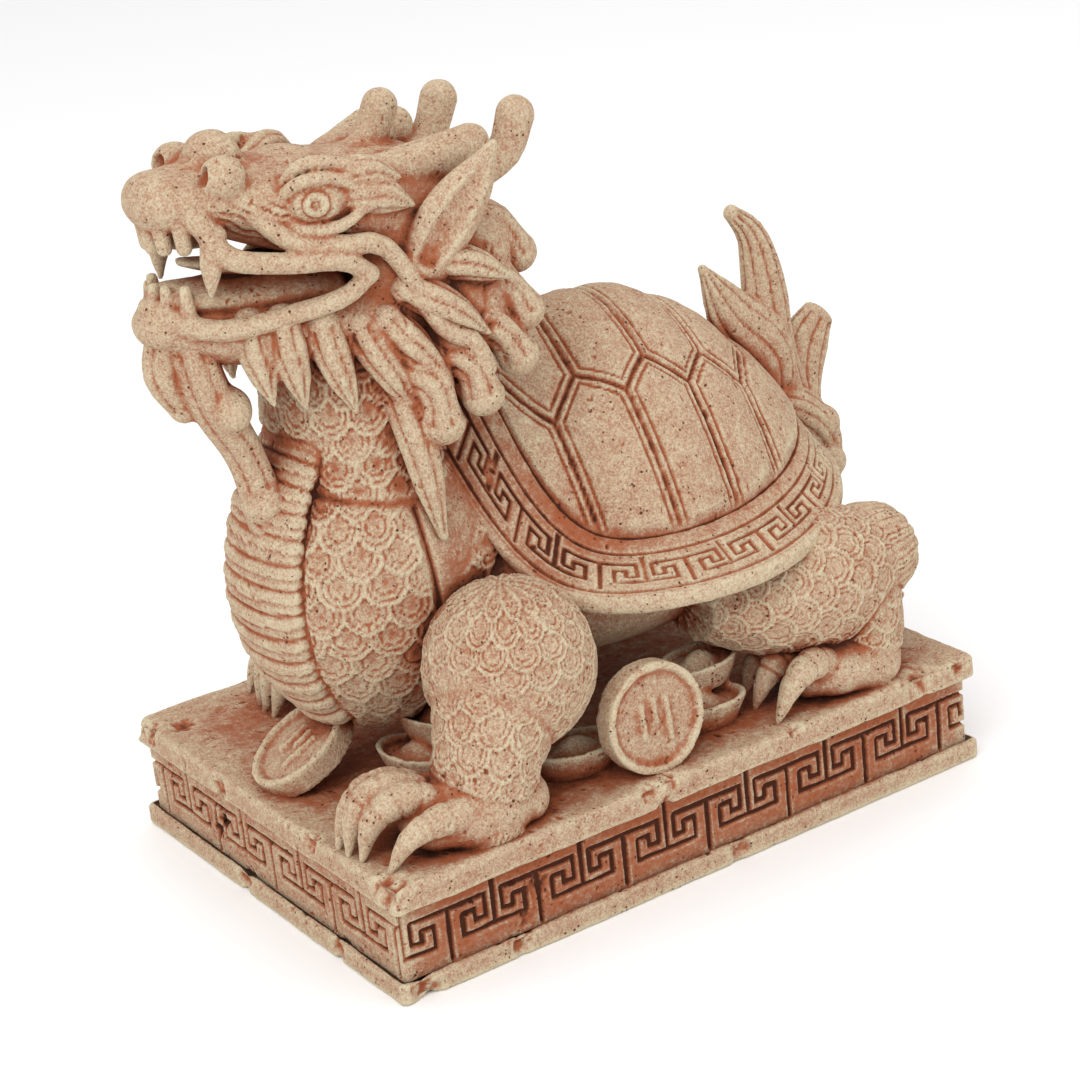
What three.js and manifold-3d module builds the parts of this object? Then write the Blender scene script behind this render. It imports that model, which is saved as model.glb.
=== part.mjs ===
// Dragon turtle on a rectangular plinth: one solid casting, in millimetres, +Z up.
// The origin is the middle of the plinth's underside. The head looks along -Y.
import * as THREE from 'three';
import { mergeVertices } from 'three/addons/utils/BufferGeometryUtils.js';
import Module from 'manifold-3d';

const wasm = await Module();
wasm.setup();

const V = (x, y, z) => new THREE.Vector3(x, y, z);

// Driving dimensions of the plinth
const PLINTH = { length: 190, width: 140, height: 32.2 };
const SLAB_LOW = 6.1;
const SLAB_TOP_BOTTOM = 24.9;
const BAND_INSET = 2.6;
const SLAB_BEVEL = 1.6;
const KEY = { width: 1.2, depth: 0.9, tilesLong: 14, tilesShort: 10, margin: 1.6 };

// Driving dimensions of the shell: outer rim, ring at the foot of the dome, and crest
const SHELL = {
  rim: { halfWidth: 65, front: 57, rear: 67, y: 22, z: 77.5, frontRise: 48, rearRise: 7, archPower: 9 },
  ring: { halfWidth: 49, front: 41, rear: 61, y: 22, z: 87, frontRise: 58, rearRise: 9, archPower: 7 },
  crestZ: 141, rimThickness: 5, underZ: 84,
};

// The shell's plates: a zigzag down each side of the crest, with a groove across from
// each inner corner and a groove down to the ring from each outer one
const PLATES = {
  pitch: 19.3, firstInnerY: 6, firstOuterY: -3.5,
  innerX: [20, 25, 24], outerX: [23.5, 29.5, 31, 28], tailX: 15,
  grooveHalf: 1.3, grooveDepth: 1.6,
};

// Driving dimensions of the animal
const CHEST = { centre: V(0, -50, 82), radii: V(33, 36, 40) };
const BELLY = { centre: V(0, 14, 74), radii: V(46, 70, 28) };
const BREAST_BANDS = 8;
const STRIDE = 27;
const COIN = { radius: 15, thickness: 7, rim: 2.4, sink: 1.2 };
const INGOT = { halfLength: 14, halfWidth: 9, height: 8.5 };

const RESIN = new THREE.MeshStandardMaterial({ color: 0xc99b80, roughness: 0.85, metalness: 0 });

const clamp = (x) => Math.min(1, Math.max(0, x));
const smooth = (x) => clamp(x) * clamp(x) * (3 - 2 * clamp(x));
const DEGREE = Math.PI / 180;

// A closed three.js geometry as a solid
function solid(geometry) {
  const bare = geometry.index ? geometry.toNonIndexed() : geometry.clone();
  bare.deleteAttribute('normal');
  bare.deleteAttribute('uv');
  const merged = mergeVertices(bare, 1e-4);
  const corners = merged.index.array;
  const triangles = [];
  for (let i = 0; i < corners.length; i += 3) {
    const [a, b, c] = [corners[i], corners[i + 1], corners[i + 2]];
    if (a !== b && b !== c && c !== a) triangles.push(a, b, c);
  }
  return new wasm.Manifold(new wasm.Mesh({
    numProp: 3,
    vertProperties: new Float32Array(merged.attributes.position.array),
    triVerts: new Uint32Array(triangles),
  }));
}

// Joins solids two by two, so that no intermediate result grows needlessly
function fuse(solids) {
  let rest = solids;
  while (rest.length > 1) {
    const next = [];
    for (let i = 0; i < rest.length; i += 2) {
      next.push(i + 1 < rest.length ? rest[i].add(rest[i + 1]) : rest[i]);
    }
    rest = next;
  }
  return rest[0];
}

// An ellipsoid, turned about X, then Y, then Z by degrees
function ball(centre, radii, { turn = [0, 0, 0], sides = 12, rings = 8 } = {}) {
  const geometry = new THREE.SphereGeometry(1, sides, rings);
  geometry.scale(radii.x, radii.y, radii.z);
  geometry.rotateX(turn[0] * DEGREE);
  geometry.rotateY(turn[1] * DEGREE);
  geometry.rotateZ(turn[2] * DEGREE);
  geometry.translate(centre.x, centre.y, centre.z);
  return solid(geometry);
}

// Reads a list of values as a smooth profile over 0 to 1
function profile(values, t) {
  const place = clamp(t) * (values.length - 1);
  const i = Math.min(values.length - 2, Math.floor(place));
  return values[i] + (values[i + 1] - values[i]) * (place - i);
}

// A round-ended form along a curve: a sphere whose axis follows the curve, with its
// first and last rings drawn close to the ends. half is its half-width across the
// given side direction, thick the other way. With corners, its rings are at the points.
function lock(points, half, thick, options) {
  const { across = V(1, 0, 0), sides = 8, steps = 8, end = 0.05, corners = false } = options;
  const curve = new THREE.CatmullRomCurve3(points, false, 'centripetal');
  const geometry = new THREE.SphereGeometry(1, sides, steps);
  const position = geometry.attributes.position;
  for (let i = 0; i < position.count; i += 1) {
    const [x, y, z] = [position.getX(i), position.getY(i), position.getZ(i)];
    const row = Math.round(Math.acos(Math.min(1, Math.max(-1, -y))) / Math.PI * steps);
    const pole = row === 0 || row === steps;
    const between = steps > 2 ? end + (1 - 2 * end) * (row - 1) / (steps - 2) : 0.5;
    const t = pole ? row / steps : between;
    const centre = corners ? curve.getPoint(t) : curve.getPointAt(t);
    const along = corners ? curve.getTangent(t) : curve.getTangentAt(t);
    const side = across.clone().addScaledVector(along, -across.dot(along)).normalize();
    const up = new THREE.Vector3().crossVectors(side, along);
    const angle = Math.atan2(z, x);
    if (!pole) {
      centre.addScaledVector(side, Math.cos(angle) * profile(half, t));
      centre.addScaledVector(up, Math.sin(angle) * profile(thick, t));
    }
    position.setXYZ(i, centre.x, centre.y, centre.z);
  }
  return solid(geometry);
}

const tube = (points, radii, options) => lock(points, radii, radii, options);

// A lathe body standing on the origin, turned so that its axis follows a normal
function turned(profilePoints, segments, base, normal, stretch = V(1, 1, 1)) {
  const outline = profilePoints.map(([r, h]) => new THREE.Vector2(r, h));
  const geometry = new THREE.LatheGeometry(outline, segments);
  geometry.rotateX(Math.PI / 2);
  geometry.scale(stretch.x, stretch.y, stretch.z);
  const turn = new THREE.Quaternion().setFromUnitVectors(V(0, 0, 1), normal.clone().normalize());
  geometry.applyQuaternion(turn);
  geometry.translate(base.x, base.y, base.z);
  return solid(geometry);
}

// The outline of a line of constant width with square corners
function strokeOutline(points, width) {
  const side = (sign) => points.map((p, i) => {
    const before = points[Math.max(0, i - 1)];
    const after = points[Math.min(points.length - 1, i + 1)];
    const a = i > 0 ? p.clone().sub(before).normalize() : null;
    const b = i < points.length - 1 ? after.clone().sub(p).normalize() : null;
    const [d, e] = [a ?? b, b ?? a];
    const shift = new THREE.Vector2(-d.y, d.x);
    if (a && b) shift.add(new THREE.Vector2(-e.y, e.x));
    return p.clone().addScaledVector(shift, sign * width / 2);
  });
  return new THREE.Shape([...side(1), ...side(-1).reverse()]);
}

// One tile of the square spiral, as points in a unit square, and the plainer hook that
// stands for it on the two far sides
const SPIRAL = [[0, 1], [0, 0.1], [0.8, 0.1], [0.8, 0.78], [0.34, 0.78]];
const HOOK = SPIRAL.slice(0, 4);

// The incised square spirals along one side of the band, each starting at an upright line
function keyBand(length, tiles, turnDegrees, distance, tilePath) {
  const height = SLAB_TOP_BOTTOM - SLAB_LOW - 2 * KEY.margin;
  const tile = length / tiles;
  const cuts = [];
  for (let i = 0; i < tiles; i += 1) {
    const left = -length / 2 + i * tile;
    const path = tilePath.map(([u, v]) => new THREE.Vector2(left + u * tile,
      KEY.margin + (i % 2 === 1 ? 1 - v : v) * height));
    const geometry = new THREE.ExtrudeGeometry(strokeOutline(path, KEY.width),
      { depth: KEY.depth + 1, bevelEnabled: false });
    geometry.rotateX(Math.PI / 2);
    geometry.translate(0, -distance + KEY.depth, SLAB_LOW);
    geometry.rotateZ(turnDegrees * DEGREE);
    cuts.push(solid(geometry));
  }
  return cuts;
}

function plinth() {
  const slab = (halfX, halfY, bottom, top) => {
    const b = SLAB_BEVEL;
    const shape = new THREE.Shape([
      [-halfX + b, -halfY], [halfX - b, -halfY], [halfX, -halfY + b], [halfX, halfY - b],
      [halfX - b, halfY], [-halfX + b, halfY], [-halfX, halfY - b], [-halfX, -halfY + b],
    ].map(([x, y]) => new THREE.Vector2(x, y)));
    const geometry = new THREE.ExtrudeGeometry(shape, { depth: top - bottom, bevelEnabled: false });
    geometry.translate(0, 0, bottom);
    return solid(geometry);
  };
  const [halfX, halfY] = [PLINTH.width / 2, PLINTH.length / 2];
  const low = slab(halfX, halfY, 0, SLAB_LOW);
  const band = slab(halfX - BAND_INSET, halfY - BAND_INSET, SLAB_LOW - 1, SLAB_TOP_BOTTOM + 1);
  const top = slab(halfX + 1, halfY - 0.6, SLAB_TOP_BOTTOM, PLINTH.height);
  const body = low.add(band).add(top);
  const [longRun, shortRun] = [PLINTH.length - 2 * BAND_INSET - 2, PLINTH.width - 2 * BAND_INSET - 2];
  const cuts = [
    ...keyBand(shortRun, KEY.tilesShort, 0, halfY - BAND_INSET, SPIRAL),
    ...keyBand(longRun, KEY.tilesLong, 90, halfX - BAND_INSET, SPIRAL),
    ...keyBand(shortRun, KEY.tilesShort, 180, halfY - BAND_INSET, HOOK),
    ...keyBand(longRun, KEY.tilesLong, 270, halfX - BAND_INSET, HOOK),
  ];
  return body.subtract(fuse(cuts));
}

// A closed line round the shell: an egg in plan, arched up over the neck in front
function shellLine(line, angle) {
  const [c, s] = [Math.cos(angle), Math.sin(angle)];
  const turn = Math.atan2(s, Math.abs(c)) / DEGREE;
  const arch = Math.sin(clamp(-turn / 90) * Math.PI / 2) ** line.archPower;
  const reach = s < 0 ? line.front : line.rear;
  return V(line.halfWidth * c, line.y + reach * s,
    line.z + line.frontRise * arch + line.rearRise * smooth(turn / 90));
}

// The shell's upper surface. angle is taken round the plan, and r runs from the
// crest at 0, by the ring at the foot of the dome at 1, to the outer rim at 2.
function shellPoint(angle, r, lift = 0) {
  const ring = shellLine(SHELL.ring, angle);
  if (r > 1) {
    const p = ring.lerp(shellLine(SHELL.rim, angle), r - 1);
    p.z += lift;
    return p;
  }
  const rise = (SHELL.crestZ - ring.z) * (1 - r ** 1.9) ** 0.88;
  return V(ring.x * r, SHELL.ring.y + (ring.y - SHELL.ring.y) * r, ring.z + rise + lift);
}

// The point of the dome over a place in plan
function domePoint(x, y) {
  const { halfWidth, front, rear, y: middle } = SHELL.ring;
  const across = x / halfWidth;
  const along = (y - middle) / (y < middle ? front : rear);
  return shellPoint(Math.atan2(along, across), Math.min(1, Math.hypot(across, along)));
}

// Rings of the shell from crest to rim: radius and height offset. Each groove is a dip.
const SHELL_RINGS = [
  [0.34, 0], [0.66, 0], [0.96, 0], [1.0, -1.4], [1.05, 0], [1.26, 0], [1.3, -1.4], [1.35, 0], [2.0, -2],
];

// A grid of rings and spokes. Round the crest every second spoke is left out.
function shell() {
  const around = 20;
  const under = [[1.97, 1], [1.2, 0.3]];
  const rows = 1 + SHELL_RINGS.length + under.length;
  const geometry = new THREE.SphereGeometry(1, around, rows);
  const position = geometry.attributes.position;
  for (let i = 0; i < position.count; i += 1) {
    const column = i % (around + 1);
    const row = Math.floor(i / (around + 1));
    const spoke = row < 2 ? column - column % 2 : column;
    const angle = 2 * Math.PI * (spoke % around) / around;
    let p;
    if (row === 0) {
      p = shellPoint(0, 0);
    } else if (row <= SHELL_RINGS.length) {
      const [r, lift] = SHELL_RINGS[row - 1];
      p = shellPoint(angle, r, lift);
    } else if (row <= SHELL_RINGS.length + under.length) {
      const [r, share] = under[row - 1 - SHELL_RINGS.length];
      p = shellPoint(angle, r);
      const rim = shellPoint(angle, 2).z - SHELL.rimThickness;
      p.z = SHELL.underZ + (rim - SHELL.underZ) * share;
    } else {
      p = V(0, SHELL.ring.y, SHELL.underZ);
    }
    position.setXYZ(i, p.x, p.y, p.z);
  }
  return solid(geometry).subtract(fuse(plateGrooves()));
}

// A V-shaped groove along the dome through places given in plan
function groove(plan) {
  const [w, d] = [PLATES.grooveHalf, PLATES.grooveDepth];
  const places = plan.map(([x, y]) => domePoint(x, y));
  return lock(places, [w, w], [d, d],
    { sides: 4, steps: plan.length + 1, end: 0, across: V(0.6, 0.8, 0), corners: true });
}

function plateGrooves() {
  const { pitch, firstInnerY, firstOuterY, innerX, outerX, tailX } = PLATES;
  const ring = SHELL.ring;
  const share = (y) => (y - ring.y) / (y < ring.y ? ring.front : ring.rear);
  const footX = (y) => ring.halfWidth * Math.sqrt(1 - share(y) ** 2);
  const cuts = innerX.map((x, i) => {
    const y = firstInnerY + i * pitch;
    return groove([[-x, y], [0, y], [x, y]]);
  });
  for (const side of [1, -1]) {
    const zigzag = [[side * 15, firstOuterY - 10]];
    outerX.forEach((x, i) => {
      const y = firstOuterY + i * pitch;
      zigzag.push([side * x, y], [side * (innerX[i] ?? tailX), firstInnerY + i * pitch]);
      cuts.push(groove([[side * x, y], [side * (x + footX(y)) / 2, y], [side * footX(y), y]]));
    });
    cuts.push(groove(zigzag));
  }
  return cuts;
}

// Both members of a pair: the one built, and its mirror image in the plane x = 0
const pair = (make) => [make(1), make(-1)];
const sided = (side, points) => points.map(([x, y, z]) => V(side * x, y, z));

function trunk() {
  // The breastplate is a banded strip down the front: each band is a step out and back
  const reach = [];
  for (let i = 0; i < BREAST_BANDS; i += 1) reach.push(4.4, 6.6);
  const middle = [[-64, 128], [-75, 112], [-80.5, 96], [-82, 82], [-79, 66], [-70, 52]];
  const breast = middle.map(([y, z]) => V(0, y, z));
  const neck = [V(0, -44, 88), V(0, -51, 118), V(0, -46, 150)];
  return [
    ball(BELLY.centre, BELLY.radii, { sides: 8, rings: 5 }),
    ball(CHEST.centre, CHEST.radii, { sides: 12, rings: 8 }),
    lock(neck, [32, 26, 23, 23, 24], [33, 24, 21, 22, 22], { sides: 8, steps: 5 }),
    lock(breast, [13, 16, 18, 19, 18, 14], reach, { sides: 6, steps: 2 * BREAST_BANDS + 1, end: 0 }),
  ];
}

// One front leg: upper arm, forearm, foot and four claws
function frontLeg(side) {
  const back = side > 0 ? 0 : STRIDE;
  const at = (points) => sided(side, points.map(([x, y, z]) => [x, y + back, z]));
  const toes = [
    [[47, -68, 42], [43, -80, 46], [41, -87, 42], [41, -92, 32]],
    [[52, -69, 43], [48, -81, 47], [46, -88, 43], [46, -92, 32]],
    [[57, -69, 42], [54, -80, 46], [52, -87, 42], [51, -91, 32]],
    [[63, -58, 38], [64, -72, 42], [63, -83, 40], [61, -89, 32]],
  ];
  const foot = at([[58, -48, 37], [56, -60, 39], [53, -72, 38]]);
  return [
    ball(V(side * 47, -40 + back, 67), V(21, 21.5, 22), { sides: 9, rings: 6 }),
    tube(at([[50, -46, 62], [55, -54, 50], [57, -60, 37]]), [17, 14, 13, 12], { sides: 7, steps: 4 }),
    lock(foot, [9, 13, 14, 12], [7, 9, 10, 8], { sides: 6, steps: 4, end: 0.1 }),
    ...toes.map((toe) => tube(at(toe), [3.8, 4.6, 4.2, 2.8, 0.8], { sides: 4, steps: 4 })),
  ];
}

// One hind leg: folded thigh, shin, foot and three claws
function hindLeg(side) {
  const at = (points) => sided(side, points);
  const toes = [
    [[48, 52, 40], [46, 44, 43], [45, 38, 40], [45, 34, 32]],
    [[54, 50, 41], [54, 41, 44], [54, 35, 40], [54, 30, 32]],
    [[61, 52, 41], [64, 41, 44], [65, 34, 40], [65, 29, 32]],
  ];
  const thigh = at([[41, 24, 62], [48, 42, 60], [52, 60, 62], [53, 73, 64]]);
  const foot = at([[61, 67, 37], [58, 56, 38], [55, 47, 38]]);
  return [
    lock(thigh, [12, 16, 18, 18, 13], [10, 14, 17, 19, 13], { sides: 8, steps: 5 }),
    tube(at([[54, 64, 60], [57, 66, 48], [59, 64, 36]]), [13, 12, 10, 9], { sides: 6, steps: 3 }),
    lock(foot, [8, 10, 12, 10], [6, 8, 8, 7], { sides: 6, steps: 4, end: 0.1 }),
    ...toes.map((toe) => tube(at(toe), [3.8, 4.6, 4, 2.6, 0.8], { sides: 4, steps: 4 })),
  ];
}

// A coin: a thick disc with a raised rim, and rows of short strokes in its face
function coin(base, normal) {
  const { radius: r, thickness: h, rim, sink } = COIN;
  const outline = [[0, 0], [r, 0], [r, h], [r - rim, h], [r - rim, h - sink], [0, h - sink]];
  const disc = turned(outline, 12, base, normal);
  const turn = new THREE.Quaternion().setFromUnitVectors(V(0, 0, 1), normal.clone().normalize());
  const strokes = [];
  for (const [x, y, length] of [[-4, 0, 10], [0, 2, 7], [4, -1, 12]]) {
    const bar = new THREE.BoxGeometry(1.6, length, 1.6);
    bar.translate(x, y, h - sink);
    bar.applyQuaternion(turn);
    bar.translate(base.x, base.y, base.z);
    strokes.push(solid(bar));
  }
  return [disc, ...strokes];
}

// A boat-shaped ingot: a flared oval bowl with a dome in it
function ingot(base, turnDegrees) {
  const { halfLength, halfWidth, height } = INGOT;
  const outline = [[0, 0], [0.72, 0], [1, height], [0.8, height - 0.8], [0, height + 1.4]];
  const geometry = new THREE.LatheGeometry(outline.map(([r, h]) => new THREE.Vector2(r, h)), 8);
  geometry.rotateX(Math.PI / 2);
  geometry.scale(halfLength, halfWidth, 1);
  geometry.rotateZ(turnDegrees * DEGREE);
  geometry.translate(base.x, base.y, base.z);
  return solid(geometry);
}

function hoard() {
  const ground = PLINTH.height - 0.6;
  return [
    ...coin(V(58.5, -9, ground + COIN.radius - 0.6), V(1, 0, 0.1)),
    ...coin(V(-1, -75, ground + 5.5), V(-0.12, -0.52, 0.85)),
    ingot(V(20, -54, ground), 20),
    ingot(V(20, -47, ground + 8), 20),
    ingot(V(48, -24, ground), 80),
    ingot(V(50, 15, ground), 75),
    ingot(V(44, 20, ground + 8.2), 100),
    ingot(V(-46, 22, ground), 80),
  ];
}

// The three flames of the tail, the bundle that they spring from and its curled tufts
function tail() {
  const left = [V(0, 84, 92), V(3, 82, 108), V(2, 72, 122), V(1, 64, 137)];
  const middle = [V(0, 90, 90), V(0, 86, 110), V(0, 85, 130), V(0, 82, 143), V(0, 76, 150)];
  const right = [V(-1, 96, 86), V(-2, 97, 98), V(-2, 101, 107), V(-2, 106, 113)];
  const knobs = [V(4, 100, 83), V(7, 99, 72), V(-7, 99, 72)];
  const bundle = [V(0, 78, 96), V(0, 90, 90), V(0, 100, 79), V(0, 102, 68)];
  return [
    lock(left, [6, 6, 5, 3.5, 1.2], [7, 9, 9.5, 7, 1.4], { sides: 5, steps: 5 }),
    lock(middle, [6, 5.5, 5, 4, 2], [8, 8, 8, 6, 2.4], { sides: 5, steps: 5 }),
    lock(right, [6, 5, 4.5, 3.4, 2], [6, 8, 9, 9, 6], { sides: 5, steps: 5 }),
    lock(bundle, [9, 10, 9, 7], [5, 7, 7, 5], { sides: 6, steps: 4 }),
    ...knobs.map((p) => ball(p, V(5, 5, 5), { sides: 5, rings: 4 })),
  ];
}

// Skull, muzzle and lower jaw, with the open mouth cut through from side to side
function headMass() {
  const muzzle = [V(0, -34, 178), V(0, -50, 182), V(0, -66, 186), V(0, -80, 190), V(0, -94, 192)];
  const jaw = [V(0, -38, 154), V(0, -52, 156), V(0, -68, 157), V(0, -85, 158), V(0, -99, 162)];
  const gape = [V(0, -114, 177), V(0, -90, 174.5), V(0, -70, 170.5), V(0, -56, 169)];
  const skull = [
    ball(V(0, -36, 166), V(29, 30, 27), { sides: 10, rings: 7 }),
    lock(muzzle, [26, 27, 23, 17, 12], [15, 14, 12, 9.5, 7.5], { sides: 8, steps: 6, end: 0.03 }),
    lock(jaw, [26, 27, 21, 16, 9], [14, 13, 11, 9, 5.5], { sides: 8, steps: 6, end: 0.03 }),
    ball(V(0, -60, 190), V(10, 9, 8), { sides: 6, rings: 4 }),
    ball(V(0, -78, 199), V(8.5, 7, 7), { sides: 7, rings: 4 }),
  ];
  return fuse(skull).subtract(lock(gape, [11, 14, 40, 40], [8, 6, 4.5, 3.5], { sides: 6, steps: 5 }));
}

// One side of the face: teeth, lips, fang, nostril, eye, brows, horn, ear and whisker
function face(side) {
  const at = (points) => sided(side, points);
  const upperLip = [
    [-1, -94.5, 195], [9, -92, 192], [13, -89, 186], [16, -86, 179], [21, -73, 175],
    [27, -60, 173.5], [27, -54, 169],
  ];
  const lowerLip = [
    [27, -54, 169], [26, -60, 165], [20, -73, 162], [14, -89, 161], [8, -97, 164], [-1, -100, 167],
  ];
  const brows = [
    [[19, -60, 192], [24, -50, 193], [26, -42, 190]],
    [[22, -57, 188], [26, -48, 187], [28, -40, 183]],
  ];
  const horn = [[13, -44, 186], [16, -34, 189], [18, -22, 191], [18, -16, 192]];
  const spur = [[15, -28, 182], [17, -14, 184], [18, -6, 188], [18, -2, 196]];
  const ear = [[27, -38, 168], [30, -32, 178], [32, -24, 187], [32, -18, 194]];
  const whisker = [
    [10, -78, 192], [16, -76, 186], [21, -69, 179], [26, -59, 177], [28, -51, 176],
    [29, -45, 168], [30, -41, 158], [32, -37, 151], [33, -31, 147], [34, -29, 140],
  ];
  const teeth = [];
  for (const x of [2, 7]) {
    const y = -93 + x * x / 20;
    teeth.push(tube(at([[x, y, 193], [x, y, 181]]), [2.2, 1.6], { sides: 4, steps: 2 }));
    teeth.push(tube(at([[x, y - 2, 160], [x, y - 2, 171]]), [2.2, 1.6], { sides: 4, steps: 2 }));
  }
  return [
    ...teeth,
    tube(at(upperLip), [3.2, 3, 2.8, 2.6, 2.4], { sides: 4, steps: 7 }),
    tube(at(lowerLip), [2.2, 2.6, 2.6, 2.8, 2.6], { sides: 4, steps: 6 }),
    tube(at([[13.5, -87, 184], [14, -89, 177], [13.5, -90, 170]]), [3.2, 3, 0.8], { sides: 4, steps: 3 }),
    ball(V(side * 11.5, -81, 195.5), V(5.5, 6.5, 5.5), { sides: 6, rings: 4 }),
    ball(V(side * 20, -61.5, 188), V(6.5, 8, 5.5), { sides: 6, rings: 4 }),
    ...brows.map((p) => tube(at(p), [3, 4.8, 4.2, 0.8], { sides: 4, steps: 3 })),
    tube(at(horn), [6.4, 6, 5.4, 4.8], { sides: 5, steps: 3 }),
    tube(at(spur), [5, 4.8, 4.4, 5], { sides: 5, steps: 4 }),
    lock(at(ear), [5, 5, 4, 1], [7, 8.5, 6.5, 1.2], { sides: 5, steps: 4 }),
    tube(at(whisker), [2.2, 2.6, 2.6, 2.4, 2.4, 3], { sides: 4, steps: 8 }),
  ];
}

// The tongue and the knobbed prong on the crown
function middleParts() {
  return [
    lock([V(0, -58, 165), V(0, -82, 166), V(0, -94, 168)], [20, 14, 9], [6, 5, 4], { sides: 6, steps: 3 }),
    tube([V(0, -44, 186), V(0, -34, 195), V(0, -30, 202)], [6, 4.4, 4.6], { sides: 6, steps: 4 }),
  ];
}

// One side of the mane: curls behind the cheek, flames under the jaw and a hanging lock
function mane(side) {
  const at = (points) => sided(side, points);
  const curls = [
    [[12, -26, 168], [19, -14, 172], [19, -7, 162]],
    [[16, -28, 158], [25, -17, 158], [26, -11, 149]],
    [[20, -32, 150], [28, -22, 148], [29, -16, 139]],
    [[22, -38, 146], [31, -32, 142], [33, -30, 133]],
    [[22, -46, 144], [30, -42, 138], [31, -41, 128]],
  ];
  const flames = [
    [[13, -81, 160], [14, -80, 149], [16, -79, 140]],
    [[17, -74, 160], [18, -73, 147], [19, -72, 138]],
    [[20, -65, 158], [22, -63, 145], [24, -61, 135]],
    [[22, -56, 156], [26, -52, 144], [28, -47, 133]],
    [[25, -50, 156], [29, -44, 147], [32, -38, 138]],
    [[26, -44, 163], [31, -36, 157], [33, -26, 148]],
    [[24, -38, 169], [30, -28, 166], [32, -17, 160]],
  ];
  const fall = [[22, -48, 140], [27, -47, 125], [29, -46, 112], [31, -45, 99]];
  return [
    ...curls.map((curl) => tube(at(curl), [6.5, 6, 4.6, 5.6], { sides: 5, steps: 4 })),
    ...flames.map((flame) => tube(at(flame), [4.6, 5, 3.8, 0.8], { sides: 4, steps: 3 })),
    tube(at(fall), [5, 5.4, 4.4, 1.4], { sides: 5, steps: 3 }),
  ];
}

// The beard, with a curl half-way and one at its foot, where it joins the breast
function beard() {
  const fall = [V(3, -93, 158), V(4, -90, 142), V(3, -83, 126), V(3, -78, 106)];
  return [
    lock(fall, [7, 7, 6, 7], [5.5, 6, 5, 6], { sides: 6, steps: 5 }),
    tube([V(0, -96, 160), V(-2, -98, 149), V(-1, -95, 140)], [6, 6, 4], { sides: 5, steps: 3 }),
    ball(V(7, -87, 139), V(7, 5.5, 6), { sides: 6, rings: 4 }),
    ball(V(4, -79, 112), V(7.5, 6.5, 6), { sides: 6, rings: 4 }),
  ];
}

const group = new THREE.Group();

function add(name, body) {
  const mesh = body.getMesh();
  const geometry = new THREE.BufferGeometry();
  geometry.setAttribute('position', new THREE.BufferAttribute(mesh.vertProperties, 3));
  geometry.setIndex(new THREE.BufferAttribute(mesh.triVerts, 1));
  geometry.computeVertexNormals();
  const part = new THREE.Mesh(geometry, RESIN);
  part.name = name;
  group.add(part);
}

const pieces = [
  plinth(), shell(), ...trunk(), ...pair(frontLeg).flat(), ...pair(hindLeg).flat(), headMass(),
  ...pair(face).flat(), ...middleParts(), ...pair(mane).flat(), ...beard(), ...tail(), ...hoard(),
];
add('dragon_turtle', fuse(pieces));

export default group;
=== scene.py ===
import math

import bpy
import numpy as np
import openvdb
from mathutils import Matrix, Vector, kdtree


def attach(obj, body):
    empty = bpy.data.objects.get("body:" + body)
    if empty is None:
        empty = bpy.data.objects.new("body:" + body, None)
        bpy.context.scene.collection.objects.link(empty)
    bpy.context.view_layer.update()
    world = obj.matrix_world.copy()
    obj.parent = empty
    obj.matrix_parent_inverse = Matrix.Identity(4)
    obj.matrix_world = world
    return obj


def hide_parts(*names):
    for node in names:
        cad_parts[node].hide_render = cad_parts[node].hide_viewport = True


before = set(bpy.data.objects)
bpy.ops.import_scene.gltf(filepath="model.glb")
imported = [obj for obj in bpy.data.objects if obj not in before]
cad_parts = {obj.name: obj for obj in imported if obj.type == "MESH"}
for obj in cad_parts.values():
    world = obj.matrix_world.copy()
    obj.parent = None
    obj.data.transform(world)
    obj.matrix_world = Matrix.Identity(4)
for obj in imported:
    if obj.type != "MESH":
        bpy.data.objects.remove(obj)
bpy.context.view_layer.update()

# All shapes are worked out in millimetres, in the object's own frame, and scaled once at the end
MM = 0.001

PLINTH = {"length": 190.0, "width": 140.0, "height": 32.2}
HALF_X, HALF_Y = PLINTH["width"] / 2, PLINTH["length"] / 2
SLAB_LOW = 6.1
SLAB_TOP_BOTTOM = 24.9
BAND_INSET = 2.6
# Incised double spirals: groove, and for each kind of side the first tile's start and a tile's length
KEY = {"width": 1.25, "depth": 1.15, "long": (-91.5, 13.4), "short": (-76.2, 15.66)}

# The shell's outer edge and the foot of its dome, which rise towards the front and the rear
RIM = {"half": 65, "front": 57, "rear": 67, "y": 22, "z": 77.5, "front_rise": 48, "rear_rise": 7, "power": 9}
RING = {"half": 49, "front": 41, "rear": 61, "y": 22, "z": 87, "front_rise": 58, "rear_rise": 9, "power": 7}
CREST_Z = 141.0
RIM_THICKNESS = 5.0
UNDER_Z = 84.0
# Joints between the plates: step from plate to plate, and where inner and outer corners lie
PITCH, FIRST_INNER, FIRST_OUTER = 19.3, 6.0, -3.5
INNER_X = [20, 25, 24, 15]
OUTER_X = [23.5, 29.5, 31, 28]
# How much further back the far front leg stands
STRIDE = 27.0
COIN = {"radius": 15.0, "thickness": 7.0, "rim": 2.4, "sink": 1.4}
INGOT = {"length": 14.0, "width": 9.0, "height": 8.5}

# Scales: width, distance from row to row, and how far their free edge stands up
CHEST_SCALES = (11.0, 6.8, 1.3)
NECK_SCALES = (11.0, 6.8, 1.2)
LIMB_SCALES = (8.6, 5.4, 1.1)
RIM_TILES, RIM_TILE_WIDTH, RIM_TILE_HEIGHT = 34, 11.4, 7.6
PLATE_GROOVE = {"depth": 1.35, "half_width": 0.75, "side_line": 2.2, "side_half_width": 0.45}

# The way across the animal, from which every lock's side is worked out
ACROSS = np.array([1.0, 0.0, 0.0])
# Distance given to places that no form reaches
NO_FORM = 6.0
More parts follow.
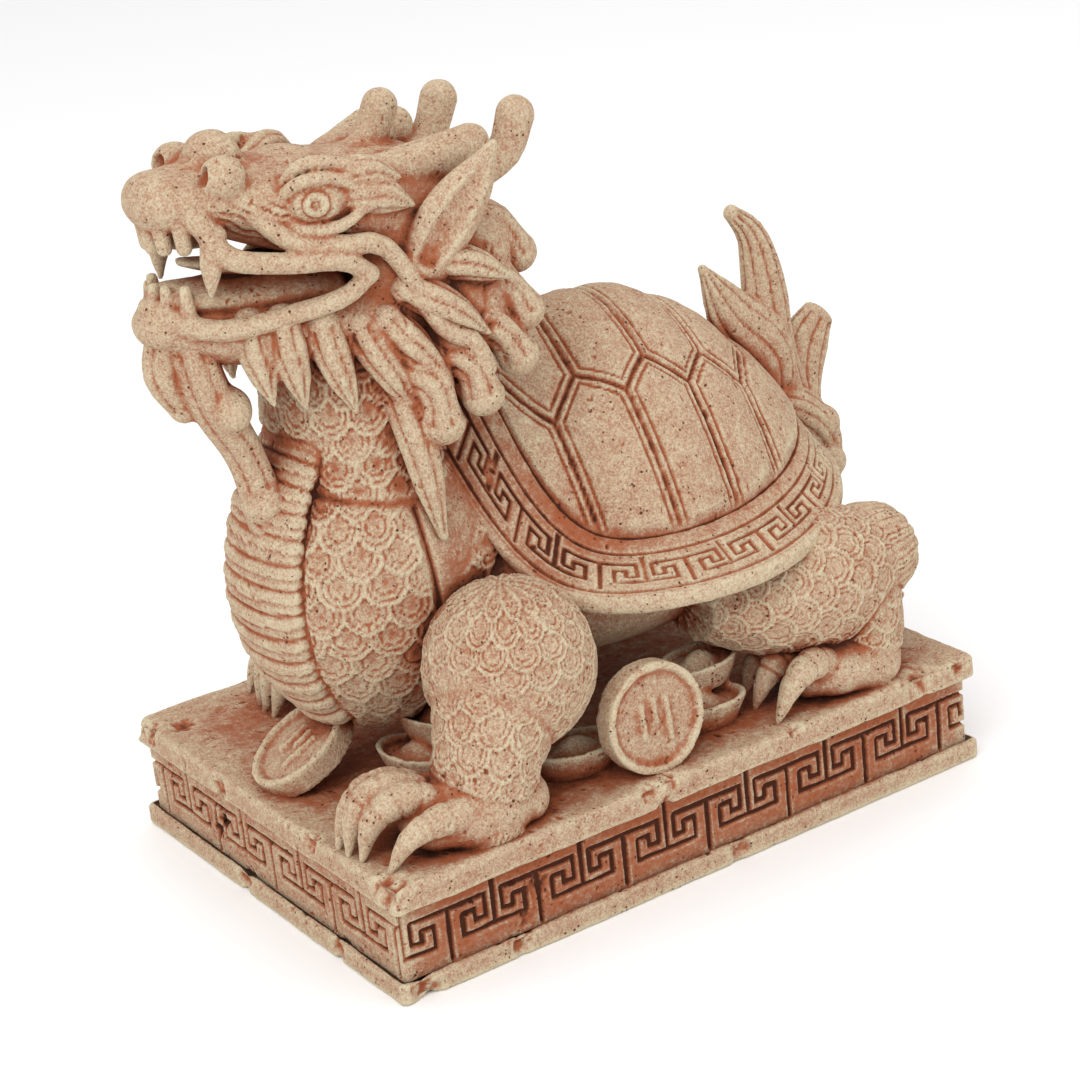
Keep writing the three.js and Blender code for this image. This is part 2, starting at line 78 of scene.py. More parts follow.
# The space that holds the whole casting
SPACE = {"low": (-78.0, -112.0, -10.0), "size": (156.0, 230.0, 226.0)}
# Height above the surroundings from which a place counts as fully raised
FULL_RELIEF = {"near": 0.16, "middle": 0.60, "far": 1.6}
# Share of filled space round a place that lies open
OPEN_SHARE = 0.36

# Where the view is taken from, in millimetres, with its lens and its three directions
CAMERA = {
    "place": (575.67, -357.09, 337.54), "lens": 89.07, "sensor": 36,
    "right": (0.56084, 0.82127, -0.10478),
    "up": (-0.24440, 0.28514, 0.92680),
    "back": (0.79103, -0.49417, 0.36064),
}
# Soft lights: place and size in metres, power in watts
LIGHTS = {
    "key": ((0.55, -0.85, 1.1), 0.9, 8),
    "fill": ((1.2, 0.5, 0.7), 1.2, 3),
    "top": ((-0.3, 0.2, 1.5), 1.2, 3),
}
AMBIENT = 0.88

# Finished skins by name, and the fields of distances that they came from
skins = []
fields = []


# Noise and small helpers
def smooth(x):
    x = np.clip(x, 0.0, 1.0)
    return x * x * (3 - 2 * x)


def ridge(x, middle, width):
    """1 in the middle, and down to nothing within a few widths."""
    return np.exp(-((x - middle) / width) ** 2)


def lengths(vectors):
    return np.linalg.norm(vectors, axis=1)


def soft_min(a, b, k):
    """The smaller of two distances, with a fillet of size k where they are close."""
    h = np.maximum(k - np.abs(a - b), 0) / k
    return np.minimum(a, b) - h * h * k / 4


_rng = np.random.default_rng(7)
_perm = np.tile(_rng.permutation(256), 3)
_slopes = _rng.normal(size=(256, 3)).astype(np.float32)
_slopes /= lengths(_slopes)[:, None]


def noise(points, scale, seed):
    """Gradient noise in about -1 to 1, with features scale millimetres apart."""
    q = points / scale + seed * 17.31
    cell = np.floor(q).astype(int)
    f = (q - cell).astype(np.float32)
    w = f * f * f * (f * (f * 6 - 15) + 10)
    cell &= 255
    total = np.zeros(len(q), np.float32)
    for corner in range(8):
        o = np.array([corner & 1, corner >> 1 & 1, corner >> 2 & 1])
        c = cell + o
        index = _perm[_perm[_perm[c[:, 0]] + c[:, 1]] + c[:, 2]]
        g = _slopes[index]
        part = np.einsum("ij,ij->i", g, f - o)
        weight = np.prod(np.where(o == 1, w, 1 - w), axis=1)
        total += part * weight
    return total * 1.6


def fractal(points, scale, octaves, seed):
    """Noise with finer and fainter noise added to it."""
    total = 0
    for i in range(octaves):
        total = total + noise(points, scale / 2**i, seed + i) / 2**i
    return total


# Forms, each of which gives a distance at any point
def spline(points, count):
    """count + 1 evenly spaced places along a centripetal Catmull-Rom curve."""
    p = np.array(points, float)
    if len(p) == 2:
        return p[0] + np.linspace(0, 1, count + 1)[:, None] * (p[1] - p[0])
    p = np.vstack([2 * p[0] - p[1], p, 2 * p[-1] - p[-2]])
    places = []
    u = np.linspace(0, 1, 24, endpoint=False)[:, None]
    for a, b, c, d in zip(p, p[1:], p[2:], p[3:]):
        ta, tb, tc = (max(1e-4, np.linalg.norm(r - q) ** 0.5) for q, r in ((a, b), (b, c), (c, d)))
        m0 = ((b - a) / ta - (c - a) / (ta + tb) + (c - b) / tb) * tb
        m1 = ((c - b) / tb - (d - b) / (tb + tc) + (d - c) / tc) * tb
        places.append((2 * u**3 - 3 * u**2 + 1) * b + (u**3 - 2 * u**2 + u) * m0
                      + (3 * u**2 - 2 * u**3) * c + (u**3 - u**2) * m1)
    places = np.vstack(places + [p[-2:-1]])
    run = np.concatenate([[0], np.cumsum(lengths(np.diff(places, axis=0)))])
    at = np.linspace(0, run[-1], count + 1)
    return np.stack([np.interp(at, run, places[:, k]) for k in range(3)], 1)


def fair(values, count=33):
    """A list of values read as a smooth profile over 0 to 1."""
    at = np.linspace(0, 1, count)
    out = np.interp(at, np.linspace(0, 1, len(values)), values)
    for _ in range(count // (2 * len(values)) * 2 + 1):
        out[1:-1] = (out[:-2] + 2 * out[1:-1] + out[2:]) / 4
    return out


class Lock:
    """A round-ended form along a curve. half is its half-width across the animal, thick the other way."""

    def __init__(self, points, half, thick=None, skin=None):
        length = lengths(np.diff(np.array(points, float), axis=0)).sum()
        self.count = int(np.clip(length / 3, 6, 20))
        self.c = spline(points, self.count)
        along = np.gradient(self.c, axis=0)
        self.along = along / lengths(along)[:, None]
        side = ACROSS - self.along * (self.along @ ACROSS)[:, None]
        self.side = side / lengths(side)[:, None]
        self.up = np.cross(self.side, self.along)
        self.half = fair(half)
        self.thick = fair(half if thick is None else thick)
        self.skin = skin
        self.length = length

    def box(self, margin):
        reach = max(self.half.max(), self.thick.max()) + margin
        return self.c.min(0) - reach, self.c.max(0) + reach

    def local(self, p):
        """Place along the curve from 0 to 1, offsets to the side, up and on past an end."""
        p = p.astype(np.float32)
        best = np.full(len(p), 1e9, np.float32)
        t = np.zeros(len(p), np.float32)
        for i in range(self.count):
            step = (self.c[i + 1] - self.c[i]).astype(np.float32)
            q = p - self.c[i].astype(np.float32)
            s = np.clip(q @ step / (step @ step), 0, 1)
            q = q - s[:, None] * step
            gap = np.einsum("ij,ij->i", q, q)
            near = gap < best
            best[near] = gap[near]
            t[near] = (i + s[near]) / self.count
        k = t * self.count
        i = np.minimum(k.astype(int), self.count - 1)
        f = (k - i)[:, None]
        mix = [v[i] * (1 - f) + v[i + 1] * f for v in (self.c, self.side, self.up, self.along)]
        q = p - mix[0]
        a, b, c = (np.einsum("ij,ij->i", q, v) for v in mix[1:])
        return t, a, b, c

    def radii(self, t):
        at = np.linspace(0, 1, len(self.half))
        return np.interp(t, at, self.half), np.interp(t, at, self.thick)

    def distance(self, p):
        t, a, b, c = self.local(p)
        h, k = self.radii(t)
        g = np.sqrt((a / h) ** 2 + (b / k) ** 2 + (c / np.minimum(h, k)) ** 2)
        rho = np.sqrt(a * a + b * b + c * c)
        return (rho - rho / np.maximum(g, 1e-3)).astype(np.float32)


class Ball:
    """An ellipsoid."""

    def __init__(self, centre, radii, skin=None):
        self.centre = np.array(centre, float)
        self.r = np.array(radii if np.ndim(radii) else (radii,) * 3, float)
        self.skin = skin

    def box(self, margin):
        reach = self.r + margin
        return self.centre - reach, self.centre + reach

    def distance(self, p):
        q = (p - self.centre) / self.r
        k0 = lengths(q)
        k1 = lengths(q / self.r)
        return (k0 * (k0 - 1) / np.maximum(k1, 1e-4)).astype(np.float32)


class Shape:
    """A form given by a distance function and a box."""

    def __init__(self, function, low, high):
        self.distance, self.low, self.high = function, np.array(low, float), np.array(high, float)
        self.skin = None

    def box(self, margin):
        return self.low - margin, self.high + margin


class Field:
    """A grid of distances to forms that are joined softly."""

    def __init__(self, low, high, step):
        self.low = np.array(low, float)
        self.step = step
        self.size = np.ceil((np.array(high) - self.low) / self.step).astype(int) + 1
        self.d = np.full(self.size, NO_FORM, np.float32)
        self.forms = []
        fields.append(self)

    def block(self, low, high):
        first = np.clip(np.floor((low - self.low) / self.step).astype(int), 0, self.size - 2)
        last = np.clip(np.ceil((high - self.low) / self.step).astype(int) + 1, 2, self.size)
        axes = [self.low[k] + self.step * np.arange(first[k], last[k]) for k in range(3)]
        points = np.stack(np.meshgrid(*axes, indexing="ij"), -1).astype(np.float32).reshape(-1, 3)
        return tuple(slice(a, b) for a, b in zip(first, last)), points

    def join(self, form, soft, cut=False):
        where, points = self.block(*form.box(soft + 3))
        old = self.d[where]
        new = form.distance(points).reshape(old.shape)
        if cut:
            self.d[where] = -soft_min(-old, new, soft)
        else:
            self.d[where] = soft_min(old, new, soft)
            self.forms.append(form)

    def holds(self, p):
        """Which points lie inside the grid."""
        high = self.low + self.step * (self.size - 1)
        return np.flatnonzero(((p > self.low) & (p < high)).all(1))

    def sample(self, p):
        """Distance at any points, read from the grid."""
        q = (p - self.low) / self.step
        i = np.clip(q.astype(int), 0, self.size - 2)
        f = np.clip(q - i, 0, 1)
        total = 0
        for corner in range(8):
            o = np.array([corner & 1, corner >> 1 & 1, corner >> 2 & 1])
            w = np.prod(np.where(o == 1, f, 1 - f), axis=1)
            c = i + o
            total = total + w * self.d[c[:, 0], c[:, 1], c[:, 2]]
        return total

    def surface(self):
        """The points and quads of the zero surface, faces out."""
        grid = openvdb.FloatGrid(NO_FORM)
        self.d[[0, -1]] = self.d[:, [0, -1]] = self.d[:, :, [0, -1]] = NO_FORM
        grid.copyFromArray(self.d)
        points, quads = grid.convertToQuads(isovalue=0.0)[:2]
        points = self.low + self.step * np.array(points, float)
        quads = np.array(quads, int)
        mesh = Skin(points, quads)
        probe = points + mesh.normal * self.step
        if np.mean(self.sample(probe[::97])) < np.mean(self.sample(points[::97])):
            mesh = Skin(points, quads[:, ::-1])
        return mesh


class Skin:
    """Points and quads, with the few sums over neighbours that carving needs."""

    def __init__(self, points, quads):
        self.p, self.quads = points, quads
        edges = np.vstack([quads[:, [i, (i + 1) % 4]] for i in range(4)])
        edges = edges[edges[:, 0] != edges[:, 1]]
        self.a = np.concatenate([edges[:, 0], edges[:, 1]])
        self.b = np.concatenate([edges[:, 1], edges[:, 0]])
        self.degree = np.maximum(np.bincount(self.a, minlength=len(points)), 1)
        self.find_normals()

    def find_normals(self):
        p, q = self.p, self.quads
        face = np.cross(p[q[:, 2]] - p[q[:, 0]], p[q[:, 3]] - p[q[:, 1]])
        n = np.zeros_like(p)
        for k in range(4):
            for axis in range(3):
                n[:, axis] += np.bincount(q[:, k], face[:, axis], len(p))
        self.normal = n / np.maximum(lengths(n), 1e-9)[:, None]

    def mean(self, values):
        """The mean of each point's neighbours."""
        if values.ndim == 1:
            return np.bincount(self.a, values[self.b], len(values)) / self.degree
        return np.stack([self.mean(values[:, k]) for k in range(values.shape[1])], 1)

    def relax(self, times):
        for _ in range(times):
            self.p = self.p + 0.5 * (self.mean(self.p) - self.p)
            self.p = self.p - 0.52 * (self.mean(self.p) - self.p)
        self.find_normals()
        return self

    def carve(self, height):
        """Moves the points along their normals by a height in millimetres."""
        self.p = self.p + self.normal * height[:, None]
        self.find_normals()

    def curvature(self):
        """How far each point stands above or below its surroundings, near and further off."""
        self.find_normals()
        out = []
        q = self.p
        done = 0
        for rounds in (2, 8, 30):
            while done < rounds:
                q = q + 0.6 * (self.mean(q) - q)
                done += 1
            out.append(np.einsum("ij,ij->i", self.p - q, self.normal))
        return out


def dress(mesh, forms):
    """Carves each form's own skin where that form is the nearest."""
    first = np.full(len(mesh.p), 9.0)
    second = np.full(len(mesh.p), 9.0)
    owner = np.full(len(mesh.p), -1)
    for i, form in enumerate(forms):
        low, high = form.box(2.5)
        near = np.flatnonzero(((mesh.p > low) & (mesh.p < high)).all(1))
        if len(near) == 0:
            continue
        d = form.distance(mesh.p[near].astype(np.float32))
        better = d < first[near]
        runner = near[~better]
        second[runner] = np.minimum(second[runner], d[~better])
        won = near[better]
        second[won] = first[won]
        first[won] = d[better]
        owner[won] = i
    height = np.zeros(len(mesh.p))
    for i, form in enumerate(forms):
        mine = np.flatnonzero(owner == i)
        if form.skin is None or len(mine) == 0:
            continue
        fade = smooth((second[mine] - first[mine]) / 1.2)
        height[mine] = form.skin(form, mesh.p[mine]) * fade
    mesh.carve(height)


# Skins
def strands(count, depth):
    """Grooves that run along a lock and sway a little."""
    def skin(form, p):
        t, a, b, _ = form.local(p)
        h, k = form.radii(t)
        angle = np.arctan2(b / k, a / h)
        phase = angle * count + np.sin(t * 7) * 0.5
        wave = 1 - np.abs(np.sin(phase / 2)) ** 0.7
        taper = smooth(t / 0.06) * smooth((1 - t) / 0.04)
        return -depth * wave * taper * np.minimum(1, np.minimum(h, k) / 2.5)
    return skin


def scale_height(u, v, width, pitch, lift):
    """Overlapping round scales: v runs the way that they point, and each row covers the next."""
    radius = 0.56 * width
    first = np.ceil((v - radius) / pitch)
    height = np.zeros(len(u))
    free = np.ones(len(u), bool)
    for k in range(5):
        row = first + k
        offset = 0.5 * np.mod(row, 2)
        column = np.round(u / width - offset)
        du = u - (column + offset) * width
        dv = v - row * pitch
        r = np.hypot(du, dv) / radius
        inside = free & (r < 1)
        rr = r[inside]
        body = 0.2 + 0.8 * rr
        arcs = 0.30 * ridge(rr, 0.50, 0.055) + 0.34 * ridge(rr, 0.76, 0.05)
        height[inside] = lift * (body - arcs)
        free &= ~inside
    return height


# Making the pieces
# Its values become painted shade in the resin's colour
class Crowding:
    """How much of the space around a place is filled by the casting, from a coarse grid of all of it."""

    def __init__(self, step=1.5):
        self.low, self.step = np.array(SPACE["low"]), step
        size = (np.array(SPACE["size"]) / step).astype(int)
        axes = [self.low[k] + step * np.arange(size[k]) for k in range(3)]
        x, y, z = np.meshgrid(*axes, indexing="ij")
        solid = (np.abs(x) < HALF_X) & (np.abs(y) < HALF_Y - 1) & (z > 0) & (z < PLINTH["height"])
        across, along = x / RIM["half"], (y - RIM["y"]) / np.where(y < RIM["y"], RIM["front"], RIM["rear"])
        angle, out = np.arctan2(along, across)[:, :, 0], np.hypot(across, along)[:, :, 0]
        inner = plan_to_shell(x[:, :, 0].ravel(), y[:, :, 0].ravel())[1].reshape(out.shape)
        r = np.where(inner < 0.999, inner, 1 + np.clip((out - 0.8) / 0.2, 0.01, 1))
        top = shell_point(angle.ravel(), r.ravel())[:, 2].reshape(out.shape)
        low = np.minimum(UNDER_Z, top - 6)
        solid |= (out < 1)[:, :, None] & (z < top[:, :, None]) & (z > low[:, :, None])
        solid = solid.ravel()
        points = np.stack([x.ravel(), y.ravel(), z.ravel()], 1)
        for field in fields:
            near = field.holds(points)
            solid[near] |= field.sample(points[near]) < 0
        solid = solid.reshape(size).astype(np.float32)
        self.grids = [self.blur(solid, radius) for radius in (2, 6)]

    def blur(self, grid, radius):
        for _ in range(2):
            for axis in range(3):
                pad = [(radius + 1, radius) if k == axis else (0, 0) for k in range(3)]
                run = np.cumsum(np.pad(grid, pad), axis=axis)
                ahead = np.take(run, range(2 * radius + 1, run.shape[axis]), axis=axis)
                behind = np.take(run, range(0, run.shape[axis] - 2 * radius - 1), axis=axis)
                grid = (ahead - behind) / (2 * radius + 1)
        return grid

    def at(self, points):
        q = np.clip(np.round((points - self.low) / self.step).astype(int), 0,
                    np.array(self.grids[0].shape) - 1)
        return [grid[q[:, 0], q[:, 1], q[:, 2]] for grid in self.grids]


def buried(points, depth=2.2, shell_depth=4.0):
    """Which points lie deep inside the casting, where no one sees them."""
    x, y, z = points.T
    inside = (np.abs(x) < HALF_X - 5) & (np.abs(y) < HALF_Y - 6)
    inside &= (z > depth) & (z < PLINTH["height"] - depth)
    angle, r = plan_to_shell(x, y)
    under = np.flatnonzero(r < 0.95)
    top = shell_point(angle[under], r[under])[:, 2]
    inside[under] |= (z[under] < top - shell_depth) & (z[under] > UNDER_Z + depth)
    for field in fields:
        near = field.holds(points)
        inside[near] |= field.sample(points[near]) < -depth
    return inside


def write_piece(name, mesh, crowding):
    """Turns a finished skin into a piece that stands for the casting."""
    relief = zip(FULL_RELIEF.items(), mesh.curvature())
    values = {key: np.clip(rise / full, -1, 1) for (key, full), rise in relief}
    # shade: how crowded the space round a place is, which the resin turns into painted shade
    close, wide = crowding.at(mesh.p + mesh.normal * 1.5)
    for _ in range(3):
        close, wide = mesh.mean(close), mesh.mean(wide)
    values["shade"] = np.clip(close - OPEN_SHARE + 2 * (wide - OPEN_SHARE), -0.04, 1)
    quads = mesh.quads[~buried(mesh.p)[mesh.quads].all(1)]
    kept, quads = np.unique(quads, return_inverse=True)
    quads = quads.reshape(-1, 4)
    data = bpy.data.meshes.new(name)
    data.vertices.add(len(kept))
    data.vertices.foreach_set("co", (mesh.p[kept] * MM).astype(np.float32).ravel())
    data.loops.add(quads.size)
    data.loops.foreach_set("vertex_index", quads.astype(np.int32).ravel())
    data.polygons.add(len(quads))
    data.polygons.foreach_set("loop_start", np.arange(0, quads.size, 4, dtype=np.int32))
    data.polygons.foreach_set("loop_total", np.full(len(quads), 4, np.int32))
    data.update(calc_edges=True)
    data.validate()
    data.polygons.foreach_set("use_smooth", np.ones(len(data.polygons), bool))
    for key, value in values.items():
        attribute = data.attributes.new(key, "FLOAT", "POINT")
        attribute.data.foreach_set("value", value[kept].astype(np.float32))
    obj = bpy.data.objects.new(name, data)
    bpy.context.scene.collection.objects.link(obj)
    data.materials.append(RESIN)
    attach(obj, "root")
    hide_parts("dragon_turtle")


# The resin
def srgb(r, g, b):
    """A linear colour from one given on the usual 0 to 255 scale."""
    return tuple(((c / 255 + 0.055) / 1.055) ** 2.4 if c > 10 else c / 3294.6 for c in (r, g, b)) + (1,)


# The bare resin, the pale paint brushed over it, a deeper terracotta in hollows that is partly its own tint
# and partly painted shade, and painted shade in deep crevices and pits
RESIN_COLOURS = {
    "bare": (166, 121, 95), "brushed": (204, 190, 160), "sunk_tint_and_shade": (158, 88, 56), "crevice_shade": (74, 38, 24),
    "shaded_pit": (92, 52, 34),
}


def make_resin():
    """Worn resin: the pale paint stays on what stands out; hollows take a deeper terracotta that is partly
    painted shade, and deep crevices and pits take painted shade.
    """
    material = bpy.data.materials.new("cast_resin")
    material.use_nodes = True
    nodes, links = material.node_tree.nodes, material.node_tree.links
    nodes.clear()

    def node(kind, inputs=(), **values):
        """Makes a node. Each of its inputs gets a number, a colour or a link."""
        made = nodes.new("ShaderNode" + kind)
        for key, value in values.items():
            setattr(made, key, value)
        for key, value in dict(inputs).items():
            if isinstance(value, (int, float, tuple)):
                made.inputs[key].default_value = value
            else:
                links.new(value, made.inputs[key])
        return made

    def calc(operation, a, b):
        return node("Math", {0: a, 1: b}, operation=operation).outputs[0]

    def total(*terms):
        """The sum of values, each times a weight."""
        result = None
        for value, weight in terms:
            part = calc("MULTIPLY", value, weight)
            result = part if result is None else calc("ADD", result, part)
        return result

    def ramp(value, low, high):
        inputs = {"Value": value, "From Min": low, "From Max": high}
        return node("MapRange", inputs, clamp=True).outputs["Result"]

    def blend(factor, a, b):
        return node("Mix", {0: factor, 6: a, 7: b}, data_type="RGBA").outputs[2]

    place = node("TexCoord").outputs["Object"]

    def grain(size_mm, detail, rough=0.6):
        """Noise about zero, with features of that size."""
        inputs = {"Vector": place, "Scale": 1 / (size_mm * MM), "Detail": detail, "Roughness": rough}
        return calc("SUBTRACT", node("TexNoise", inputs).outputs["Fac"], 0.5)

    def attribute(name):
        return node("Attribute", attribute_type="GEOMETRY", attribute_name=name).outputs["Fac"]

    near, middle, far, shade = (attribute(name) for name in ("near", "middle", "far", "shade"))
    sand, fine, coarse, patch = grain(0.55, 2), grain(1.3, 3, 0.65), grain(4.5, 3), grain(20, 3)
    # The crowding round a place (shade) is taken off its relief, so hollows and places between parts get
    # painted shade; it also keeps the pale paint off them
    relief = total((near, 0.30), (middle, 0.24), (far, 0.10), (shade, -0.80))
    brushed = ramp(total((relief, 1.0), (sand, 1.9), (fine, 1.1), (coarse, 0.6), (patch, 0.4)), -0.30, 0.60)
    # Hollows and crowded places take a deeper terracotta: partly the resin's own tint there, partly painted
    # shade
    sunk_tint_and_shade = ramp(total((relief, 1.0), (fine, 0.5), (coarse, 0.4), (patch, 0.3)), -0.06, -0.40)
    # Painted shade: the deepest, most crowded hollows, such as under the jaw, are coloured nearly black-brown
    crevice_shade = ramp(total((relief, 1.0), (sand, 0.35), (fine, 0.4)), -0.40, -0.80)
    pits = node("TexVoronoi", {"Vector": place, "Scale": 1 / (1.7 * MM)}, feature="F1")
    # Painted shade in the pits: the small pits, which are only a bump, are also coloured dark
    shaded_pit = ramp(total((pits.outputs["Distance"], 1.0), (coarse, 0.8), (fine, 0.35)), 0.12, 0.04)
    tint = {name: srgb(*value) for name, value in RESIN_COLOURS.items()}
    colour = blend(brushed, tint["bare"], tint["brushed"])
    colour = blend(sunk_tint_and_shade, colour, tint["sunk_tint_and_shade"])
    colour = blend(crevice_shade, colour, tint["crevice_shade"])
    colour = blend(shaded_pit, colour, tint["shaded_pit"])
    height = total((sand, 1.1), (fine, 0.9), (coarse, 0.5), (shaded_pit, -0.7))
    bump = node("Bump", {"Strength": 0.7, "Distance": 0.5 * MM, "Height": height})
    surface = {"Base Color": colour, "Normal": bump.outputs["Normal"],
               "Roughness": 0.85, "Specular IOR Level": 0.2}
    shader = node("BsdfPrincipled", surface)
    node("OutputMaterial", {"Surface": shader.outputs[0]})
    return material


RESIN = make_resin()


# Plinth

# One tile of the double square spiral: share of the tile's width, and height from the band's middle
SPIRAL = [(0, -9.4), (0, 4.4), (0.81, 4.4), (0.81, -1.7), (0.58, -1.7),
          (0.58, 1.3), (0.31, 1.3), (0.31, -4.6), (1, -4.6), (1, 9.4)]


def stroke_distance(u, v, path):
    """Distance in the plane from points to a line of straight strokes."""
    best = np.full(len(u), 1e9)
    for (x0, y0), (x1, y1) in zip(path, path[1:]):
        dx, dy = x1 - x0, y1 - y0
        s = np.clip(((u - x0) * dx + (v - y0) * dy) / (dx * dx + dy * dy), 0, 1)
        best = np.minimum(best, np.hypot(u - x0 - s * dx, v - y0 - s * dy))
    return best


def key_depth(u, z, start, tile, sharp=0.5):
    """Depth share 0 to 1 of the incised double spirals at u along a side. Every second tile is mirrored."""
    index = np.floor((u - start) / tile)
    local = u - start - index * tile
    local = np.where(np.mod(index, 2) == 0, tile - local, local)
    path = [(a * tile, b) for a, b in SPIRAL]
    mirrored = [(-a, b) for a, b in path] + [(2 * tile - a, b) for a, b in path[::-1]]
    best = stroke_distance(local, z, path)
    best = np.minimum(best, stroke_distance(local, z, mirrored[:len(path)]))
    best = np.minimum(best, stroke_distance(local, z, mirrored[len(path):]))
    return smooth((KEY["width"] / 2 + sharp / 2 - best) / sharp)


def grid_quads(rows, columns):
    """Quads of a grid of rows, each of which closes on itself."""
    i = np.arange(rows - 1)[:, None] * columns
    j = np.arange(columns)[None, :]
    k = (j + 1) % columns
    quads = np.stack([i + j, i + k, i + columns + k, i + columns + j], -1)
    return quads.reshape(-1, 4)


def loop_rectangle(half_x, half_y, long_count, short_count):
    """Points round a rectangle, from the front left corner, counter-clockwise seen from above."""
    sides = []
    corners = [(-half_x, -half_y), (half_x, -half_y), (half_x, half_y), (-half_x, half_y)]
    for i, count in enumerate((short_count, long_count, short_count, long_count)):
        a, b = np.array(corners[i]), np.array(corners[(i + 1) % 4])
        s = np.linspace(0, 1, count, endpoint=False)[:, None]
        sides.append(a + s * (b - a))
    return np.vstack(sides)


def round_corner(loop, half_x, half_y, radius):
    """Pulls points near the corners of a rectangle onto a rounding."""
    q = np.abs(loop) - np.array([half_x, half_y]) + radius
    out = loop.copy()
    both = (q > 0).all(1)
    gap = lengths(q[both])
    share = radius / np.maximum(gap, radius)
    inner = np.array([half_x, half_y]) - radius
    out[both] = np.sign(loop[both]) * (inner + q[both] * share[:, None])
    return out


# Chips and cracks: place, radius and depth, all in millimetres
CHIPS = [
    ((71, 74, 32), 7, 2.2), ((70.5, -10, 32), 3.0, 1.6), ((71, -17, 31), 3.4, 2.0),
    ((70, -13, 25), 3, 1.4), ((-62, -94, 31), 4.5, 2.2), ((-56, -86, 32.5), 4, 1.2),
    ((71, 30, 32), 3, 1.6), ((30, -94.5, 31), 3.5, 1.6), ((66, -94, 31), 6, 2.4),
    ((70, -52, 17), 4.5, 1.2), ((70, -56, 9), 4, 1.4), ((70, -60, 3), 3.5, 1.6),
    ((-20, -94, 28), 4, 1.8), ((-25, -92, 16), 3.2, 1.6), ((-28, -92, 12), 2.6, 1.6),
    ((71, 88, 30), 3, 1.6), ((-12, -94, 3), 4, 1.8), ((38, -95, 3), 4, 1.6),
    ((71, -88, 2), 5, 2.2), ((71, 10, 3), 4, 1.5), ((-70, -94, 30), 4, 2),
    ((-71, 20, 31), 5, 2), ((-71, -40, 4), 4, 1.5), ((-30, 95, 31), 5, 2),
    ((20, 95, 30), 3, 1.5), ((60, 95, 4), 4, 1.6),
]


def chip(mesh):
    """Takes the chips as rough bites out of a skin."""
    p = mesh.p
    for (x, y, z), radius, depth in CHIPS:
        d = lengths(p - np.array([x, y, z]))
        near = np.flatnonzero(d < radius * 1.6)
        if len(near) == 0:
            continue
        rough = d[near] / radius + 0.35 * noise(p[near], radius * 0.5, 3)
        p[near] -= mesh.normal[near] * (depth * smooth(1.15 - rough))[:, None]
    mesh.find_normals()


def wear(mesh, size):
    """The uneven, slightly pitted surface of the casting."""
    height = size * fractal(mesh.p, 5.0, 3, 1) - 0.5 * size
    hole = noise(mesh.p, 1.9, 5) + 0.55 * noise(mesh.p, 6.0, 8)
    height -= 0.45 * smooth((hole - 0.72) / 0.22)
    mesh.carve(height)


